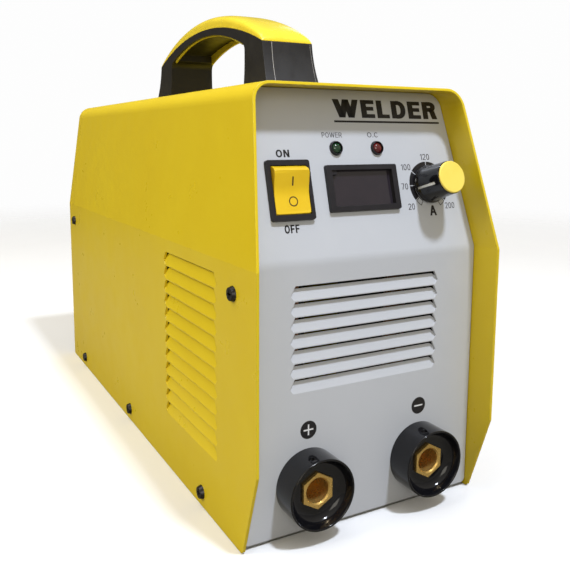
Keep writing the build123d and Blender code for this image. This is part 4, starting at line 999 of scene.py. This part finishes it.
# the floor thins out into the plain backdrop, and throws back only part of the light it shows
far = f.node("ShaderNodeVectorMath", operation="LENGTH")
f.link(f.coords, far.inputs[0])
fade = f.remap(far.outputs["Value"], 0.55, 1.9, 0, 1, smooth=True)
clear = f.node("ShaderNodeBsdfTransparent")
dim = f.node("ShaderNodeBsdfDiffuse")
dim.inputs["Color"].default_value = (0.24, 0.225, 0.195, 1)
path = f.node("ShaderNodeLightPath")
seen = f.node("ShaderNodeMixShader")
f.link(path.outputs["Is Camera Ray"], seen.inputs[0])
f.link(dim.outputs[0], seen.inputs[1])
f.link(f.bsdf.outputs[0], seen.inputs[2])
blend = f.node("ShaderNodeMixShader")
f.link(fade, blend.inputs[0])
f.link(seen.outputs[0], blend.inputs[1])
f.link(clear.outputs[0], blend.inputs[2])
f.link(blend.outputs[0], next(n for n in f.tree.nodes if n.type == "OUTPUT_MATERIAL").inputs[0])
MAT["floor"] = f.mat
me = bpy.data.meshes.new("floor")
bm.to_mesh(me)
bm.free()
me.materials.append(MAT["floor"])
for p in me.polygons:
    p.use_smooth = True
floor = bpy.data.objects.new("floor", me)
bpy.context.scene.collection.objects.link(floor)


def area(name, at, target, size, power, colour=(1, 1, 1), shape="RECTANGLE", size_y=None):
    d = bpy.data.lights.new(name, "AREA")
    d.shape = shape
    d.size = size
    if size_y:
        d.size_y = size_y
    d.energy = power
    d.color = colour
    o = bpy.data.objects.new(name, d)
    bpy.context.scene.collection.objects.link(o)
    o.location = at
    o.rotation_mode = "QUATERNION"
    o.rotation_quaternion = (Vector(target) - Vector(at)).to_track_quat("-Z", "Y")
    return o


target = Vector((0.0, -0.10, 0.15))
key_dir = Vector((0.080, -0.450, 0.890))
area("key", target + key_dir * 1.7, target, 0.17, 25.6, (0.815, 0.88, 1.0), shape="DISK")
area("left_soft", (-1.85, 0.25, 1.45), (0, 0.0, 0.12), 1.4, 28, (1.0, 0.985, 0.93), size_y=1.0)
area("overhead", (-0.45, 0.30, 2.1), (0, 0.05, 0.2), 1.2, 9, (1.0, 0.97, 0.90), size_y=1.2)
area("front_fill", (-0.85, -2.2, 0.75), (0, -0.15, 0.15), 1.3, 9.5, (1.0, 0.95, 0.84), size_y=0.9)
area("right_rear", (1.9, 1.6, 1.2), (0, 0, 0.15), 1.2, 7, (1, 1, 1), size_y=1.2)

world = bpy.data.worlds.new("world")
bpy.context.scene.world = world
world.use_nodes = True
wt = world.node_tree
bg = wt.nodes["Background"]
bg.inputs[1].default_value = 1.0


def wnode(kind, **values):
    n = wt.nodes.new(kind)
    for k, v in values.items():
        setattr(n, k, v)
    return n


def wrange(value, a, b, c, d):
    n = wnode("ShaderNodeMapRange")
    for k, v in zip(("From Min", "From Max", "To Min", "To Max"), (a, b, c, d)):
        n.inputs[k].default_value = v
    wt.links.new(value, n.inputs["Value"])
    return n.outputs[0]


# a warm room: dim near the floor and behind, brighter overhead; the backdrop itself is plain white
axes = wnode("ShaderNodeSeparateXYZ")
wt.links.new(wnode("ShaderNodeTexCoord").outputs["Generated"], axes.inputs[0])
high = wrange(axes.outputs["Z"], -0.1, 0.9, 0.20, 0.62)
back = wrange(axes.outputs["Y"], -0.2, 0.8, 1.0, 0.36)
level = wnode("ShaderNodeMath", operation="MULTIPLY")
wt.links.new(high, level.inputs[0])
wt.links.new(back, level.inputs[1])
room = wnode("ShaderNodeMix", data_type="RGBA", blend_type="MIX")
room.inputs[6].default_value = (0, 0, 0, 1)
room.inputs[7].default_value = (1.0, 0.93, 0.79, 1)
wt.links.new(level.outputs[0], room.inputs[0])
shown = wnode("ShaderNodeMix", data_type="RGBA", blend_type="MIX")
wt.links.new(wnode("ShaderNodeLightPath").outputs["Is Camera Ray"], shown.inputs[0])
wt.links.new(room.outputs[2], shown.inputs[6])
shown.inputs[7].default_value = (0.985, 0.985, 0.985, 1)
wt.links.new(shown.outputs[2], bg.inputs[0])

bpy.context.scene.view_settings.view_transform = "Standard"
